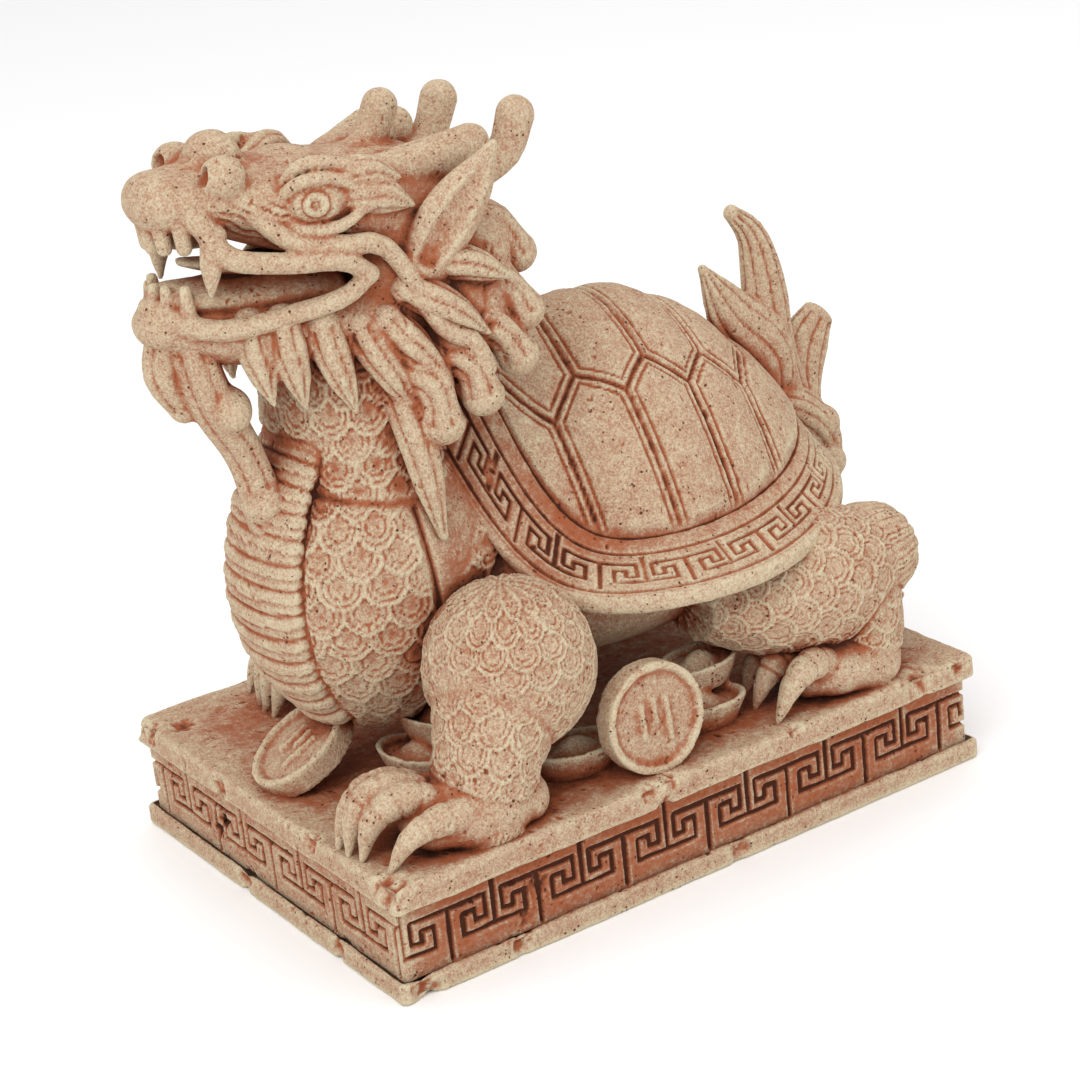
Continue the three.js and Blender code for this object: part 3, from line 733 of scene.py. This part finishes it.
def make_plinth():
    long_count, short_count = 180, 134

    def slab(hx, hy, low, high, edge, with_top):
        rows = []
        steps = [(3.0, 0.0), (1.2, 0.0), (0.4, 0.25), (0.0, 0.9)]
        count = max(3, int((high - low) / 0.8))
        levels = [(inset, low + rise) for inset, rise in steps]
        levels += [(0.0, z) for z in np.linspace(low + 1.6, high - edge - 0.5, count)]
        for k in range(1, 7):
            angle = k / 6 * math.pi / 2
            levels.append((edge * (1 - math.cos(angle)), high - edge * (1 - math.sin(angle))))
        for inset, z in levels:
            loop = loop_rectangle(hx - inset, hy - inset, long_count, short_count)
            loop = round_corner(loop, hx - inset, hy - inset, max(0.6, 2.2 - inset))
            rows.append(np.column_stack([loop, np.full(len(loop), z)]))
        columns = 2 * (long_count + short_count)
        points, quads = np.vstack(rows), grid_quads(len(rows), columns)
        if with_top:
            inner = hx - edge, hy - edge
            x = np.linspace(-inner[0], inner[0], short_count + 1)
            y = np.linspace(-inner[1], inner[1], long_count + 1)
            gx, gy = np.meshgrid(x, y)
            start = len(points) - columns
            ids = -np.ones((long_count + 1, short_count + 1), int)
            ids[0, :-1] = start + np.arange(short_count)
            ids[:-1, -1] = start + short_count + np.arange(long_count)
            ids[-1, :0:-1] = start + short_count + long_count + np.arange(short_count)
            ids[:0:-1, 0] = start + 2 * short_count + long_count + np.arange(long_count)
            inside = ids < 0
            ids[inside] = len(points) + np.arange(inside.sum())
            extra = np.column_stack([gx[inside], gy[inside], np.full(inside.sum(), high)])
            points = np.vstack([points, extra])
            top_quads = np.stack([ids[:-1, :-1], ids[:-1, 1:], ids[1:, 1:], ids[1:, :-1]], -1)
            quads = np.vstack([quads, top_quads.reshape(-1, 4)])
        else:
            middle = len(points)
            points = np.vstack([points, [(0, 0, low)]])
            i = np.arange(0, columns, 2)
            under = np.stack([np.full(len(i), middle), (i + 2) % columns, i + 1, i], -1)
            quads = np.vstack([quads, under])
        return Skin(points, quads)

    lower = slab(HALF_X, HALF_Y, 0, SLAB_LOW, 1.4, False)
    upper = slab(HALF_X + 1, HALF_Y - 0.6, SLAB_TOP_BOTTOM, PLINTH["height"], 1.8, True)
    joined = Skin(np.vstack([lower.p, upper.p]), np.vstack([lower.quads, upper.quads + len(lower.p)]))
    uneven = 0.35 * fractal(joined.p, 22, 2, 4)
    joined.carve(np.where(joined.p[:, 2] < 0.5, 0, uneven - 0.15))
    wear(joined, 0.16)
    chip(joined)
    joined.p[:, 2] = np.maximum(joined.p[:, 2], 0)
    skins.append(("plinth_slabs", joined))

    hx, hy = HALF_X - BAND_INSET, HALF_Y - BAND_INSET
    long_count, short_count = 340, 250
    loop = round_corner(loop_rectangle(hx, hy, long_count, short_count), hx, hy, 1.2)
    levels = np.linspace(SLAB_LOW - 1, SLAB_TOP_BOTTOM + 1, 42)
    rows = [np.column_stack([loop, np.full(len(loop), z)]) for z in levels]
    band = Skin(np.vstack(rows), grid_quads(len(rows), len(loop)))
    p = band.p
    depth = np.zeros(len(p))
    front, right = p[:, 1] < -hy + 0.5, p[:, 0] > hx - 0.5
    back, left = p[:, 1] > hy - 0.5, p[:, 0] < -hx + 0.5
    v = p[:, 2] - (SLAB_LOW + SLAB_TOP_BOTTOM) / 2 + 0.25 * noise(p, 9, 2)
    for mask, u, tiles in ((front, p[:, 0], "short"), (right, p[:, 1], "long"),
                           (back, -p[:, 0], "short"), (left, -p[:, 1], "long")):
        depth[mask] = key_depth(u[mask], v[mask], *KEY[tiles])
    band.carve(-KEY["depth"] * depth)
    wear(band, 0.12)
    chip(band)
    skins.append(("plinth_band", band))


# Shell
def shell_line(line, angle):
    """Places on the rim or the ring, by the angle seen from above."""
    c, s = np.cos(angle), np.sin(angle)
    turn = np.degrees(np.arctan2(s, np.abs(c)))
    arch = np.sin(np.clip(-turn / 90, 0, 1) * math.pi / 2) ** line["power"]
    reach = np.where(s < 0, line["front"], line["rear"])
    z = line["z"] + line["front_rise"] * arch + line["rear_rise"] * smooth(turn / 90)
    return np.stack([line["half"] * c, line["y"] + reach * s, z], -1)


def shell_point(angle, r):
    """Places on the shell: r is 0 at the crest, 1 at the dome's foot and 2 at the rim."""
    ring = shell_line(RING, angle)
    rim = shell_line(RIM, angle)
    inner = np.clip(r, 0, 1)
    rise = (CREST_Z - ring[:, 2]) * (1 - inner**1.9) ** 0.88
    dome = np.stack([ring[:, 0] * inner, RING["y"] + (ring[:, 1] - RING["y"]) * inner, ring[:, 2] + rise], -1)
    flare = np.clip(r - 1, 0, 1)[:, None]
    return np.where(r[:, None] > 1, ring + (rim - ring) * flare, dome)


def plan_to_shell(x, y):
    """The angle and r of places under the dome, seen from above."""
    across = x / RING["half"]
    along = (y - RING["y"]) / np.where(y < RING["y"], RING["front"], RING["rear"])
    return np.arctan2(along, across), np.minimum(1, np.hypot(across, along))


def line_on_dome(plan, step=0.4):
    """Places close together on the dome along straight lines between plan points."""
    out = []
    for (x0, y0), (x1, y1) in zip(plan, plan[1:]):
        n = max(2, int(math.hypot(x1 - x0, y1 - y0) / step))
        s = np.linspace(0, 1, n)
        out.append(shell_point(*plan_to_shell(x0 + s * (x1 - x0), y0 + s * (y1 - y0))))
    return np.vstack(out)


def tree_of(places):
    tree = kdtree.KDTree(len(places))
    for i, place in enumerate(places):
        tree.insert(place, i)
    tree.balance()
    return tree


def tree_distance(tree, points):
    return np.array([tree.find(p)[2] for p in points])


def plate_lines():
    """The joints between the plates, as lines seen from above."""
    def foot_x(y):
        reach = RING["front"] if y < RING["y"] else RING["rear"]
        return RING["half"] * math.sqrt(1 - ((y - RING["y"]) / reach) ** 2)

    lines = []
    for i, x in enumerate(INNER_X):
        y = FIRST_INNER + i * PITCH
        lines.append([(-x, y), (x, y)])
    for side in (1, -1):
        zigzag = [(side * 15, FIRST_OUTER - 10)]
        for i, x in enumerate(OUTER_X):
            y = FIRST_OUTER + i * PITCH
            zigzag += [(side * x, y), (side * INNER_X[i], FIRST_INNER + i * PITCH)]
            lines.append([(side * x, y), (side * foot_x(y), y)])
        lines.append(zigzag)
    return lines


def make_shell():
    columns = 560
    angle = np.linspace(0, 2 * math.pi, columns, endpoint=False)
    split = 1.10
    dome_rows = np.concatenate([np.linspace(0.004, 1, 100, endpoint=False),
                                np.linspace(1, split, 8)])
    rows = [shell_point(angle, np.full(columns, r)) for r in dome_rows]
    dome = Skin(np.vstack(rows), grid_quads(len(rows), columns)[:, ::-1])
    r = np.repeat(dome_rows, columns)
    height = -0.9 * ridge(r, 1.02, 0.016)
    lines = np.vstack([line_on_dome(line) for line in plate_lines()])
    d = tree_distance(tree_of(lines), dome.p)
    cut = PLATE_GROOVE
    groove = ridge(d, 0, cut["half_width"])
    groove += 0.55 * ridge(d, cut["side_line"], cut["side_half_width"])
    inside = smooth((1.0 - r) / 0.02)
    height -= cut["depth"] * groove * inside
    height += 0.9 * smooth(d / 9) * inside
    dome.carve(height)
    wear(dome, 0.16)
    skins.append(("shell_dome", dome))

    rows, share = [], []
    for k in np.linspace(split, 2.0, 44):
        rows.append(shell_point(angle, np.full(columns, k)))
        share.append(k)
    rim = rows[-1]
    ring = shell_line(RING, angle)
    outward = rim - ring
    outward[:, 2] = 0
    outward /= lengths(outward)[:, None]
    for k in range(1, 10):
        turn = k / 9 * math.pi
        p = rim + outward * 1.6 * math.sin(turn)
        p[:, 2] -= RIM_THICKNESS / 2 * (1 - math.cos(turn))
        rows.append(p)
        share.append(2.1)
    for k in np.linspace(0.1, 1, 14):
        p = rim + (ring - rim) * k * 0.9
        low = rim[:, 2] - RIM_THICKNESS
        p[:, 2] = low + (UNDER_Z - low) * k * 0.6
        rows.append(p)
        share.append(2.2)
    flare = Skin(np.vstack(rows), grid_quads(len(rows), columns)[:, ::-1])
    r = np.repeat(share, columns)
    height = -0.9 * ridge(r, 1.30, 0.018) - 0.8 * ridge(r, 1.93, 0.022)
    girth = np.concatenate([[0], np.cumsum(lengths(np.diff(rim, axis=0)))])
    total = girth[-1] + np.linalg.norm(rim[0] - rim[-1])
    u = np.tile(girth / total * RIM_TILES, len(rows)) * RIM_TILE_WIDTH
    v = (1.615 - r) / 0.25 * RIM_TILE_HEIGHT
    height -= 0.95 * key_depth(u, v, 0, RIM_TILE_WIDTH) * ((r > 1.34) & (r < 1.89))
    flare.carve(height)
    wear(flare, 0.12)
    skins.append(("shell_rim", flare))


# Forms of the animal
def placed(side, back=0):
    """A function that puts points on the near side, 1, or the far side, -1, and moves them back."""
    def at(points):
        return [(side * x, y + back, z) for x, y, z in points]
    return at


def make_form(name, field, rough=0.12):
    """Makes the skin of joined forms, with each form's own carving and the wear of the casting."""
    mesh = field.surface().relax(2)
    dress(mesh, field.forms)
    wear(mesh, rough)
    skins.append((name, mesh))


def make_trunk():
    field = Field((-50, -95, 40), (50, 90, 165), 0.9)
    field.join(Ball((0, 14, 74), (46, 70, 28)), 1)

    def scales(form, p):
        q = p - form.centre
        angle = np.arctan2(q[:, 0], -q[:, 1])
        side = smooth((np.abs(angle) - 0.52) / 0.05) * smooth((1.55 - np.abs(angle)) / 0.05)
        line = ridge(np.abs(angle), 0.50, 0.022) + ridge(np.abs(angle), 1.58, 0.022)
        height = scale_height(angle * 33, -q[:, 2] + 3, *CHEST_SCALES)
        return height * side - 1.1 * line

    def neck_scales(form, p):
        angle = np.arctan2(p[:, 0], -p[:, 1] - 50)
        return scale_height(angle * 26, -p[:, 2] + 79, *NECK_SCALES)

    def bands(form, p):
        t, a, _, _ = form.local(p)
        phase = t * 13 + 0.12 * (a / 16) ** 2
        f = phase - np.floor(phase)
        return -0.7 * ridge(f, 0.5, 0.10) + 0.5 * (f - 0.5)

    field.join(Ball((0, -50, 82), (33, 36, 40), skin=scales), 3)
    field.join(Lock([(0, -44, 88), (0, -51, 118), (0, -46, 150)], [32, 26, 23, 23, 24], [33, 24, 21, 22, 22],
                    skin=neck_scales), 3)
    strip = [(0, -64, 128), (0, -75, 112), (0, -80.5, 96), (0, -82, 82), (0, -79, 66), (0, -70, 52)]
    field.join(Lock(strip, [13, 16, 18, 19, 18, 14], [5.5] * 6, skin=bands), 1.0)
    make_form("trunk", field)


def limb_scales(form, p):
    """Scales round a shoulder, or down a leg towards its foot."""
    if isinstance(form, Ball):
        q = p - form.centre
        angle = np.arctan2(q[:, 0], -q[:, 1])
        return scale_height(angle * form.r[0], -q[:, 2], *LIMB_SCALES)
    t, a, b, _ = form.local(p)
    return scale_height(np.arctan2(b, a) * form.half.mean(), t * form.length, *LIMB_SCALES)


def claw_lines(form, p):
    """Rings across a toe, up to where the claw begins."""
    t = form.local(p)[0]
    f = t * 6 - np.floor(t * 6)
    return -0.35 * ridge(f, 0.5, 0.14) * (t < 0.62)


def front_leg(side):
    back = 0 if side > 0 else STRIDE
    at = placed(side, back)
    toes = [
        [(47, -68, 42), (43, -80, 46), (41, -87, 42), (41, -92, 32)],
        [(52, -69, 43), (48, -81, 47), (46, -88, 43), (46, -92, 32)],
        [(57, -69, 42), (54, -80, 46), (52, -87, 42), (51, -91, 32)],
        [(63, -58, 38), (64, -72, 42), (63, -83, 40), (61, -89, 32)],
    ]
    return [
        (Ball((side * 47, -40 + back, 67), (21, 21.5, 22), skin=limb_scales), 2.0),
        (Lock(at([(50, -46, 62), (55, -54, 50), (57, -60, 37)]), [17, 14, 13, 12], skin=limb_scales), 4.0),
        (Lock(at([(58, -48, 37), (56, -60, 39), (53, -72, 38)]), [9, 13, 14, 12], [7, 9, 10, 8]), 3.0),
    ] + [(Lock(at(toe), [3.8, 4.6, 4.2, 2.8, 0.8], skin=claw_lines), 0.8) for toe in toes]


def hind_leg(side):
    at = placed(side)
    toes = [
        [(48, 52, 40), (46, 44, 43), (45, 38, 40), (45, 34, 32)],
        [(54, 50, 41), (54, 41, 44), (54, 35, 40), (54, 30, 32)],
        [(61, 52, 41), (64, 41, 44), (65, 34, 40), (65, 29, 32)],
    ]
    thigh = at([(41, 24, 62), (48, 42, 60), (52, 60, 62), (53, 73, 64)])
    return [
        (Lock(thigh, [12, 16, 18, 18, 13], [10, 14, 17, 19, 13], skin=limb_scales), 2.0),
        (Lock(at([(54, 64, 60), (57, 66, 48), (59, 64, 36)]), [13, 12, 10, 9], skin=limb_scales), 3.0),
        (Lock(at([(61, 67, 37), (58, 56, 38), (55, 47, 38)]), [8, 10, 12, 10], [6, 8, 8, 7]), 3.0),
    ] + [(Lock(at(toe), [3.8, 4.6, 4, 2.6, 0.8], skin=claw_lines), 0.8) for toe in toes]


def make_leg(name, forms, low, high, step):
    field = Field(low, high, step)
    for form, soft in forms:
        field.join(form, soft)
    make_form(name, field)


def make_legs():
    make_leg("front_leg_near", front_leg(1), (24, -97, 29), (72, -14, 92), 0.66)
    make_leg("front_leg_far", front_leg(-1), (-72, -70, 29), (-24, 14, 92), 0.9)
    make_leg("hind_leg_near", hind_leg(1), (26, 20, 29), (74, 90, 86), 0.68)
    make_leg("hind_leg_far", hind_leg(-1), (-74, 20, 29), (-26, 90, 86), 0.9)


# Coins and ingots
def coin_shape(base, normal):
    """A thick coin with a raised rim and rows of shallow strokes."""
    n = np.array(normal, float)
    n /= np.linalg.norm(n)
    side = np.cross((0, 0, 1), n)
    side /= np.linalg.norm(side)
    up = np.cross(n, side)
    base = np.array(base, float)
    r, h, rim, sink = COIN["radius"], COIN["thickness"], COIN["rim"], COIN["sink"]

    def distance(p):
        q = p - base
        u, v, w = q @ side, q @ up, q @ n
        rho = np.hypot(u, v)
        top = h - sink * smooth((r - rim - rho) / 0.8 + 0.5)
        d = np.maximum(rho - r, np.maximum(w - top, -w))
        for x, y, length in ((-4, 0, 10), (0, 2, 7), (4, -1, 12)):
            bar = np.maximum(np.abs(u - x) - 0.9, np.abs(v - y) - length / 2)
            bar = np.maximum(bar, np.abs(w - h + sink) - 1.0)
            d = soft_min(d, bar, 0.6)
        return (d + 0.15).astype(np.float32)

    reach = np.abs(side) * r + np.abs(up) * r
    low = np.minimum(base - reach, base - reach + n * h) - 1
    high = np.maximum(base + reach, base + reach + n * h) + 1
    return Shape(distance, low, high)


def ingot_shape(base, turn):
    """A boat-shaped ingot with a bump in its bowl."""
    c, s = math.cos(math.radians(turn)), math.sin(math.radians(turn))
    base = np.array(base, float)
    length, width, height = INGOT["length"], INGOT["width"], INGOT["height"]

    def distance(p):
        q = p - base
        u, v, w = q[:, 0] * c + q[:, 1] * s, -q[:, 0] * s + q[:, 1] * c, q[:, 2]
        rho = np.hypot(u / length, v / width)
        flare = 0.72 + 0.28 * np.clip(w / height, 0, 1)
        wall = (rho - flare) * width
        bowl = 2.0 * smooth((0.84 - rho) / 0.1) - 3.6 * smooth((0.55 - rho) / 0.5)
        top = w - (height - bowl)
        return np.maximum(np.maximum(wall, top), -w).astype(np.float32) + 0.2

    return Shape(distance, base - (length, length, 1), base + (length, length, height + 3))


def make_hoard():
    ground = PLINTH["height"] - 0.6
    field = Field((-60, -92, 29), (70, 36, 68), 0.78)
    coins = [((58.5, -9, ground + 14.4), (1, 0, 0.1)), ((-1, -75, ground + 5.5), (-0.12, -0.52, 0.85))]
    for base, normal in coins:
        field.join(coin_shape(base, normal), 0.6)
    ingots = [((20, -54, ground), 20), ((20, -47, ground + 8), 20), ((48, -24, ground), 80),
              ((50, 15, ground), 75), ((44, 20, ground + 8.2), 100), ((-46, 22, ground), 80)]
    for base, turn in ingots:
        field.join(ingot_shape(base, turn), 0.6)
    make_form("hoard", field)


# Tail
def make_tail():
    field = Field((-14, 54, 64), (14, 112, 158), 0.6)
    add = field.join
    flame = strands(9, 0.9)
    add(Lock([(0, 84, 92), (3, 82, 108), (2, 72, 122), (1, 64, 137)], [6, 6, 5, 3.5, 1.2],
                    [7, 9, 9.5, 7, 1.4], skin=flame), 1)
    add(Lock([(0, 90, 90), (0, 86, 110), (0, 85, 130), (0, 82, 143), (0, 76, 150)],
                    [6, 5.5, 5, 4, 2], [8, 8, 8, 6, 2.4], skin=flame), 1)
    add(Lock([(-1, 96, 86), (-2, 97, 98), (-2, 101, 107), (-2, 106, 113)], [6, 5, 4.5, 3.4, 2],
                    [6, 8, 9, 9, 6], skin=flame), 1)
    add(Lock([(0, 78, 96), (0, 90, 90), (0, 100, 79), (0, 102, 68)], [9, 10, 9, 7], [5, 7, 7, 5],
                    skin=strands(12, 0.8)), 1)
    for place in ((4, 100, 83), (7, 99, 72), (-7, 99, 72)):
        add(Ball(place, 5), 1)
    make_form("tail", field, 0.1)


# Head
def eye_lines(side):
    """A ring round the iris and a hollow for the pupil."""
    axis = np.array([0.85 * side, -0.53, 0.0])

    def skin(form, p):
        q = p - form.centre
        out = q @ axis
        reach = lengths(q - out[:, None] * axis)
        ring = 0.7 * ridge(reach, 3.7, 0.5)
        pupil = 1.2 * smooth((1.9 - reach) / 0.8)
        return -(ring + pupil) * (out > 0)
    return skin


def muzzle_lines(form, p):
    """Oblique wrinkles between the lip and the whisker."""
    x, y, z = np.abs(p[:, 0]), p[:, 1], p[:, 2]
    phase = (0.55 * y + z) / 2.3 + 0.5 * noise(p, 5, 4)
    crease = 1 - np.abs(np.sin(phase * math.pi)) ** 0.6
    patch = smooth((x - 9) / 3) * smooth((y + 88) / 4) * smooth((-52 - y) / 6) * smooth((191 - z) / 3)
    return -0.9 * crease * patch


def make_head():
    field = Field((-42, -108, 136), (42, 4, 212), 0.70)
    add = field.join
    add(Ball((0, -36, 166), (29, 30, 27)), 1)
    add(Lock([(0, -34, 178), (0, -50, 182), (0, -66, 186), (0, -80, 190), (0, -94, 192)],
             [26, 27, 23, 17, 12], [15, 14, 12, 9.5, 7.5], skin=muzzle_lines), 4)
    add(Lock([(0, -38, 154), (0, -52, 156), (0, -68, 157), (0, -85, 158), (0, -99, 162)],
             [26, 27, 21, 16, 9], [14, 13, 11, 9, 5.5]), 4)
    add(Ball((0, -60, 190), (10, 9, 8)), 4)
    add(Ball((0, -78, 199), (8.5, 7, 7)), 3)
    add(Lock([(0, -114, 177), (0, -90, 174.5), (0, -70, 170.5), (0, -56, 169)], [11, 14, 40, 40],
             [8, 6, 4.5, 3.5]), 1, cut=True)
    add(Lock([(0, -58, 165), (0, -82, 166), (0, -94, 168)], [20, 14, 9], [6, 5, 4]), 1)
    add(Lock([(0, -66, 171), (0, -80, 173), (0, -90, 176)], [8, 8, 3], [2.6, 2.4, 1.2]), 0.8)
    for x in (-9, -4.5, 0, 4.5, 9):
        y = -97.5 + x * x / 20
        add(Lock([(x, y, 191), (x, y + 0.5, 181.5)], [2.5, 2.0]), 0.2)
        add(Lock([(x, y - 1, 161), (x, y - 1, 171.5)], [2.4, 1.5]), 0.2)
    add(Lock([(0, -44, 186), (0, -34, 195), (0, -30, 202)], [6, 4.4, 4.6]), 2)
    for side in (1, -1):
        at = placed(side)
        add(Lock(at([(-1, -94.5, 195), (9, -92, 192), (13, -89, 186), (16, -86, 179), (21, -73, 175),
                     (27, -60, 173.5), (27, -54, 169)]), [3.2, 3, 2.8, 2.6, 2.4]), 1)
        add(Lock(at([(27, -54, 169), (26, -60, 165), (20, -73, 162), (14, -89, 161), (8, -97, 164),
                     (-1, -100, 167)]), [2.2, 2.6, 2.6, 2.8, 2.6]), 1)
        add(Lock(at([(13.5, -87, 184), (14, -89, 177), (13.5, -90, 170)]), [3.2, 3, 0.8]), 0.5)
        add(Ball((side * 12.5, -82, 197), (5.3, 5.8, 5.3)), 1.5)
        add(Ball((side * 12, -87, 198), (2.4, 3.2, 2.4)), 0.8, cut=True)
        add(Ball((side * 20, -61.5, 188), (6.5, 8, 5.5), skin=eye_lines(side)), 0.6)
        for lid, radii in (
            ([(15, -72, 187), (22, -67, 193.5), (25, -58, 193), (26.5, -50, 187)], [1.5, 1.7, 1.7, 1.3]),
            ([(15, -70, 190), (20, -65, 197), (24, -56, 196), (26.5, -47, 190)], [1.4, 1.8, 1.8, 1.2]),
            ([(15, -72, 186), (22, -67, 182), (26, -59, 182), (27, -51, 186)], [1.4, 1.6, 1.6, 1.2]),
        ):
            add(Lock(at(lid), radii), 0.4)
        flame = strands(7, 0.6)
        for brow in ([(19, -60, 192), (24, -50, 193), (26, -42, 190)],
                     [(22, -57, 188), (26, -48, 187), (28, -40, 183)]):
            add(Lock(at(brow), [3, 4.8, 4.2, 0.8], skin=flame), 0.8)
        for horn, radii in (
            ([(13, -44, 186), (16, -34, 189), (18, -22, 191), (18, -16, 192)], [6.4, 6, 5.4, 4.8]),
            ([(15, -28, 182), (17, -14, 184), (18, -6, 188), (18, -2, 196)], [5, 4.8, 4.4, 5]),
        ):
            add(Lock(at(horn), radii), 1.5)
        add(Lock(at([(27, -38, 168), (30, -32, 178), (32, -24, 187), (32, -18, 194)]), [5, 5, 4, 1],
                 [7, 8.5, 6.5, 1.2]), 1)
        add(Lock(at([(32.5, -40, 170), (35.5, -34, 178), (36.5, -27, 186), (35, -21, 192)]),
                 [2.8, 3.2, 2.6, 0.8], [3.6, 5.2, 3.8, 0.8]), 0.6, cut=True)
        add(Lock(at([(10, -78, 192), (16, -76, 186), (21, -69, 179), (26, -59, 177), (28, -51, 176),
                     (29, -45, 168), (30, -41, 158), (32, -37, 151), (33, -31, 147), (34, -29, 140)]),
                 [2.2, 2.6, 2.6, 2.4, 2.4, 3]), 0.8)
    make_form("head", field, 0.1)


# Mane and beard
def make_mane():
    field = Field((-40, -108, 94), (40, 0, 180), 0.78)
    add = field.join
    hair = strands(6, 0.8)
    for side in (1, -1):
        at = placed(side)
        behind = [(17, -20, 168), (20, -26, 154), (21, -36, 142)]
        add(Lock(at(behind), [10, 12, 9], [13, 15, 10], skin=hair), 2)
        for curl in (
            [(12, -26, 168), (19, -14, 172), (19, -7, 162)],
            [(16, -28, 158), (25, -17, 158), (26, -11, 149)],
            [(20, -32, 150), (28, -22, 148), (29, -16, 139)],
            [(22, -38, 146), (31, -32, 142), (33, -30, 133)],
            [(22, -46, 144), (30, -42, 138), (31, -41, 128)],
        ):
            add(Lock(at(curl), [6.5, 6, 4.6, 5.6], skin=hair), 0.8)
        for lock in (
            [(13, -81, 160), (14, -80, 149), (16, -79, 140)],
            [(17, -74, 160), (18, -73, 147), (19, -72, 138)],
            [(20, -65, 158), (22, -63, 145), (24, -61, 135)],
            [(22, -56, 156), (26, -52, 144), (28, -47, 133)],
            [(25, -50, 156), (29, -44, 147), (32, -38, 138)],
            [(26, -44, 163), (31, -36, 157), (33, -26, 148)],
            [(24, -38, 169), (30, -28, 166), (32, -17, 160)],
        ):
            add(Lock(at(lock), [4.6, 5, 3.8, 0.8], skin=hair), 0.8)
        hanging = [(22, -48, 140), (27, -47, 125), (29, -46, 112), (31, -45, 99)]
        add(Lock(at(hanging), [5, 5.4, 4.4, 1.4], skin=hair), 1)
    add(Lock([(3, -93, 158), (4, -90, 142), (3, -83, 126), (3, -78, 106)], [7, 7, 6, 7], [5.5, 6, 5, 6],
             skin=hair), 1)
    add(Lock([(0, -96, 160), (-2, -98, 149), (-1, -95, 140)], [6, 6, 4], skin=hair), 1)
    add(Ball((7, -87, 139), (7, 5.5, 6)), 1)
    add(Ball((4, -79, 112), (7.5, 6.5, 6)), 1)
    make_form("mane", field, 0.1)


# Camera, floor and light
def make_camera():
    camera = bpy.data.cameras.new("camera")
    camera.lens, camera.sensor_width = CAMERA["lens"], CAMERA["sensor"]
    obj = bpy.data.objects.new("camera", camera)
    bpy.context.scene.collection.objects.link(obj)
    turn = Matrix((CAMERA["right"], CAMERA["up"], CAMERA["back"])).transposed().to_4x4()
    obj.matrix_world = Matrix.Translation(Vector(CAMERA["place"]) * MM) @ turn
    camera.clip_start, camera.clip_end = 0.05, 20
    bpy.context.scene.camera = obj
    bpy.context.scene.view_settings.view_transform = "Standard"


def make_stage():
    bpy.ops.mesh.primitive_plane_add(size=8, location=(0, 0, 0))
    floor = bpy.context.object
    floor.name = "floor"
    material = bpy.data.materials.new("floor")
    material.use_nodes = True
    shader = material.node_tree.nodes["Principled BSDF"]
    shader.inputs["Base Color"].default_value = (0.96, 0.96, 0.96, 1)
    shader.inputs["Roughness"].default_value = 0.9
    floor.data.materials.append(material)
    world = bpy.data.worlds.new("world")
    bpy.context.scene.world = world
    world.use_nodes = True
    background = world.node_tree.nodes["Background"].inputs
    background["Color"].default_value = (1, 1, 1, 1)
    background["Strength"].default_value = AMBIENT
    for name, (place, size, power) in LIGHTS.items():
        light = bpy.data.lights.new(name, "AREA")
        light.energy, light.size = power, size
        obj = bpy.data.objects.new(name, light)
        obj.location = place
        obj.rotation_euler = (Vector((0, 0, 0.09)) - Vector(place)).to_track_quat("-Z", "Y").to_euler()
        bpy.context.scene.collection.objects.link(obj)


make_camera()
make_stage()
make_plinth()
make_shell()
make_trunk()
make_legs()
make_hoard()
make_tail()
make_head()
make_mane()

crowding = Crowding()
for name, mesh in skins:
    write_piece(name, mesh, crowding)
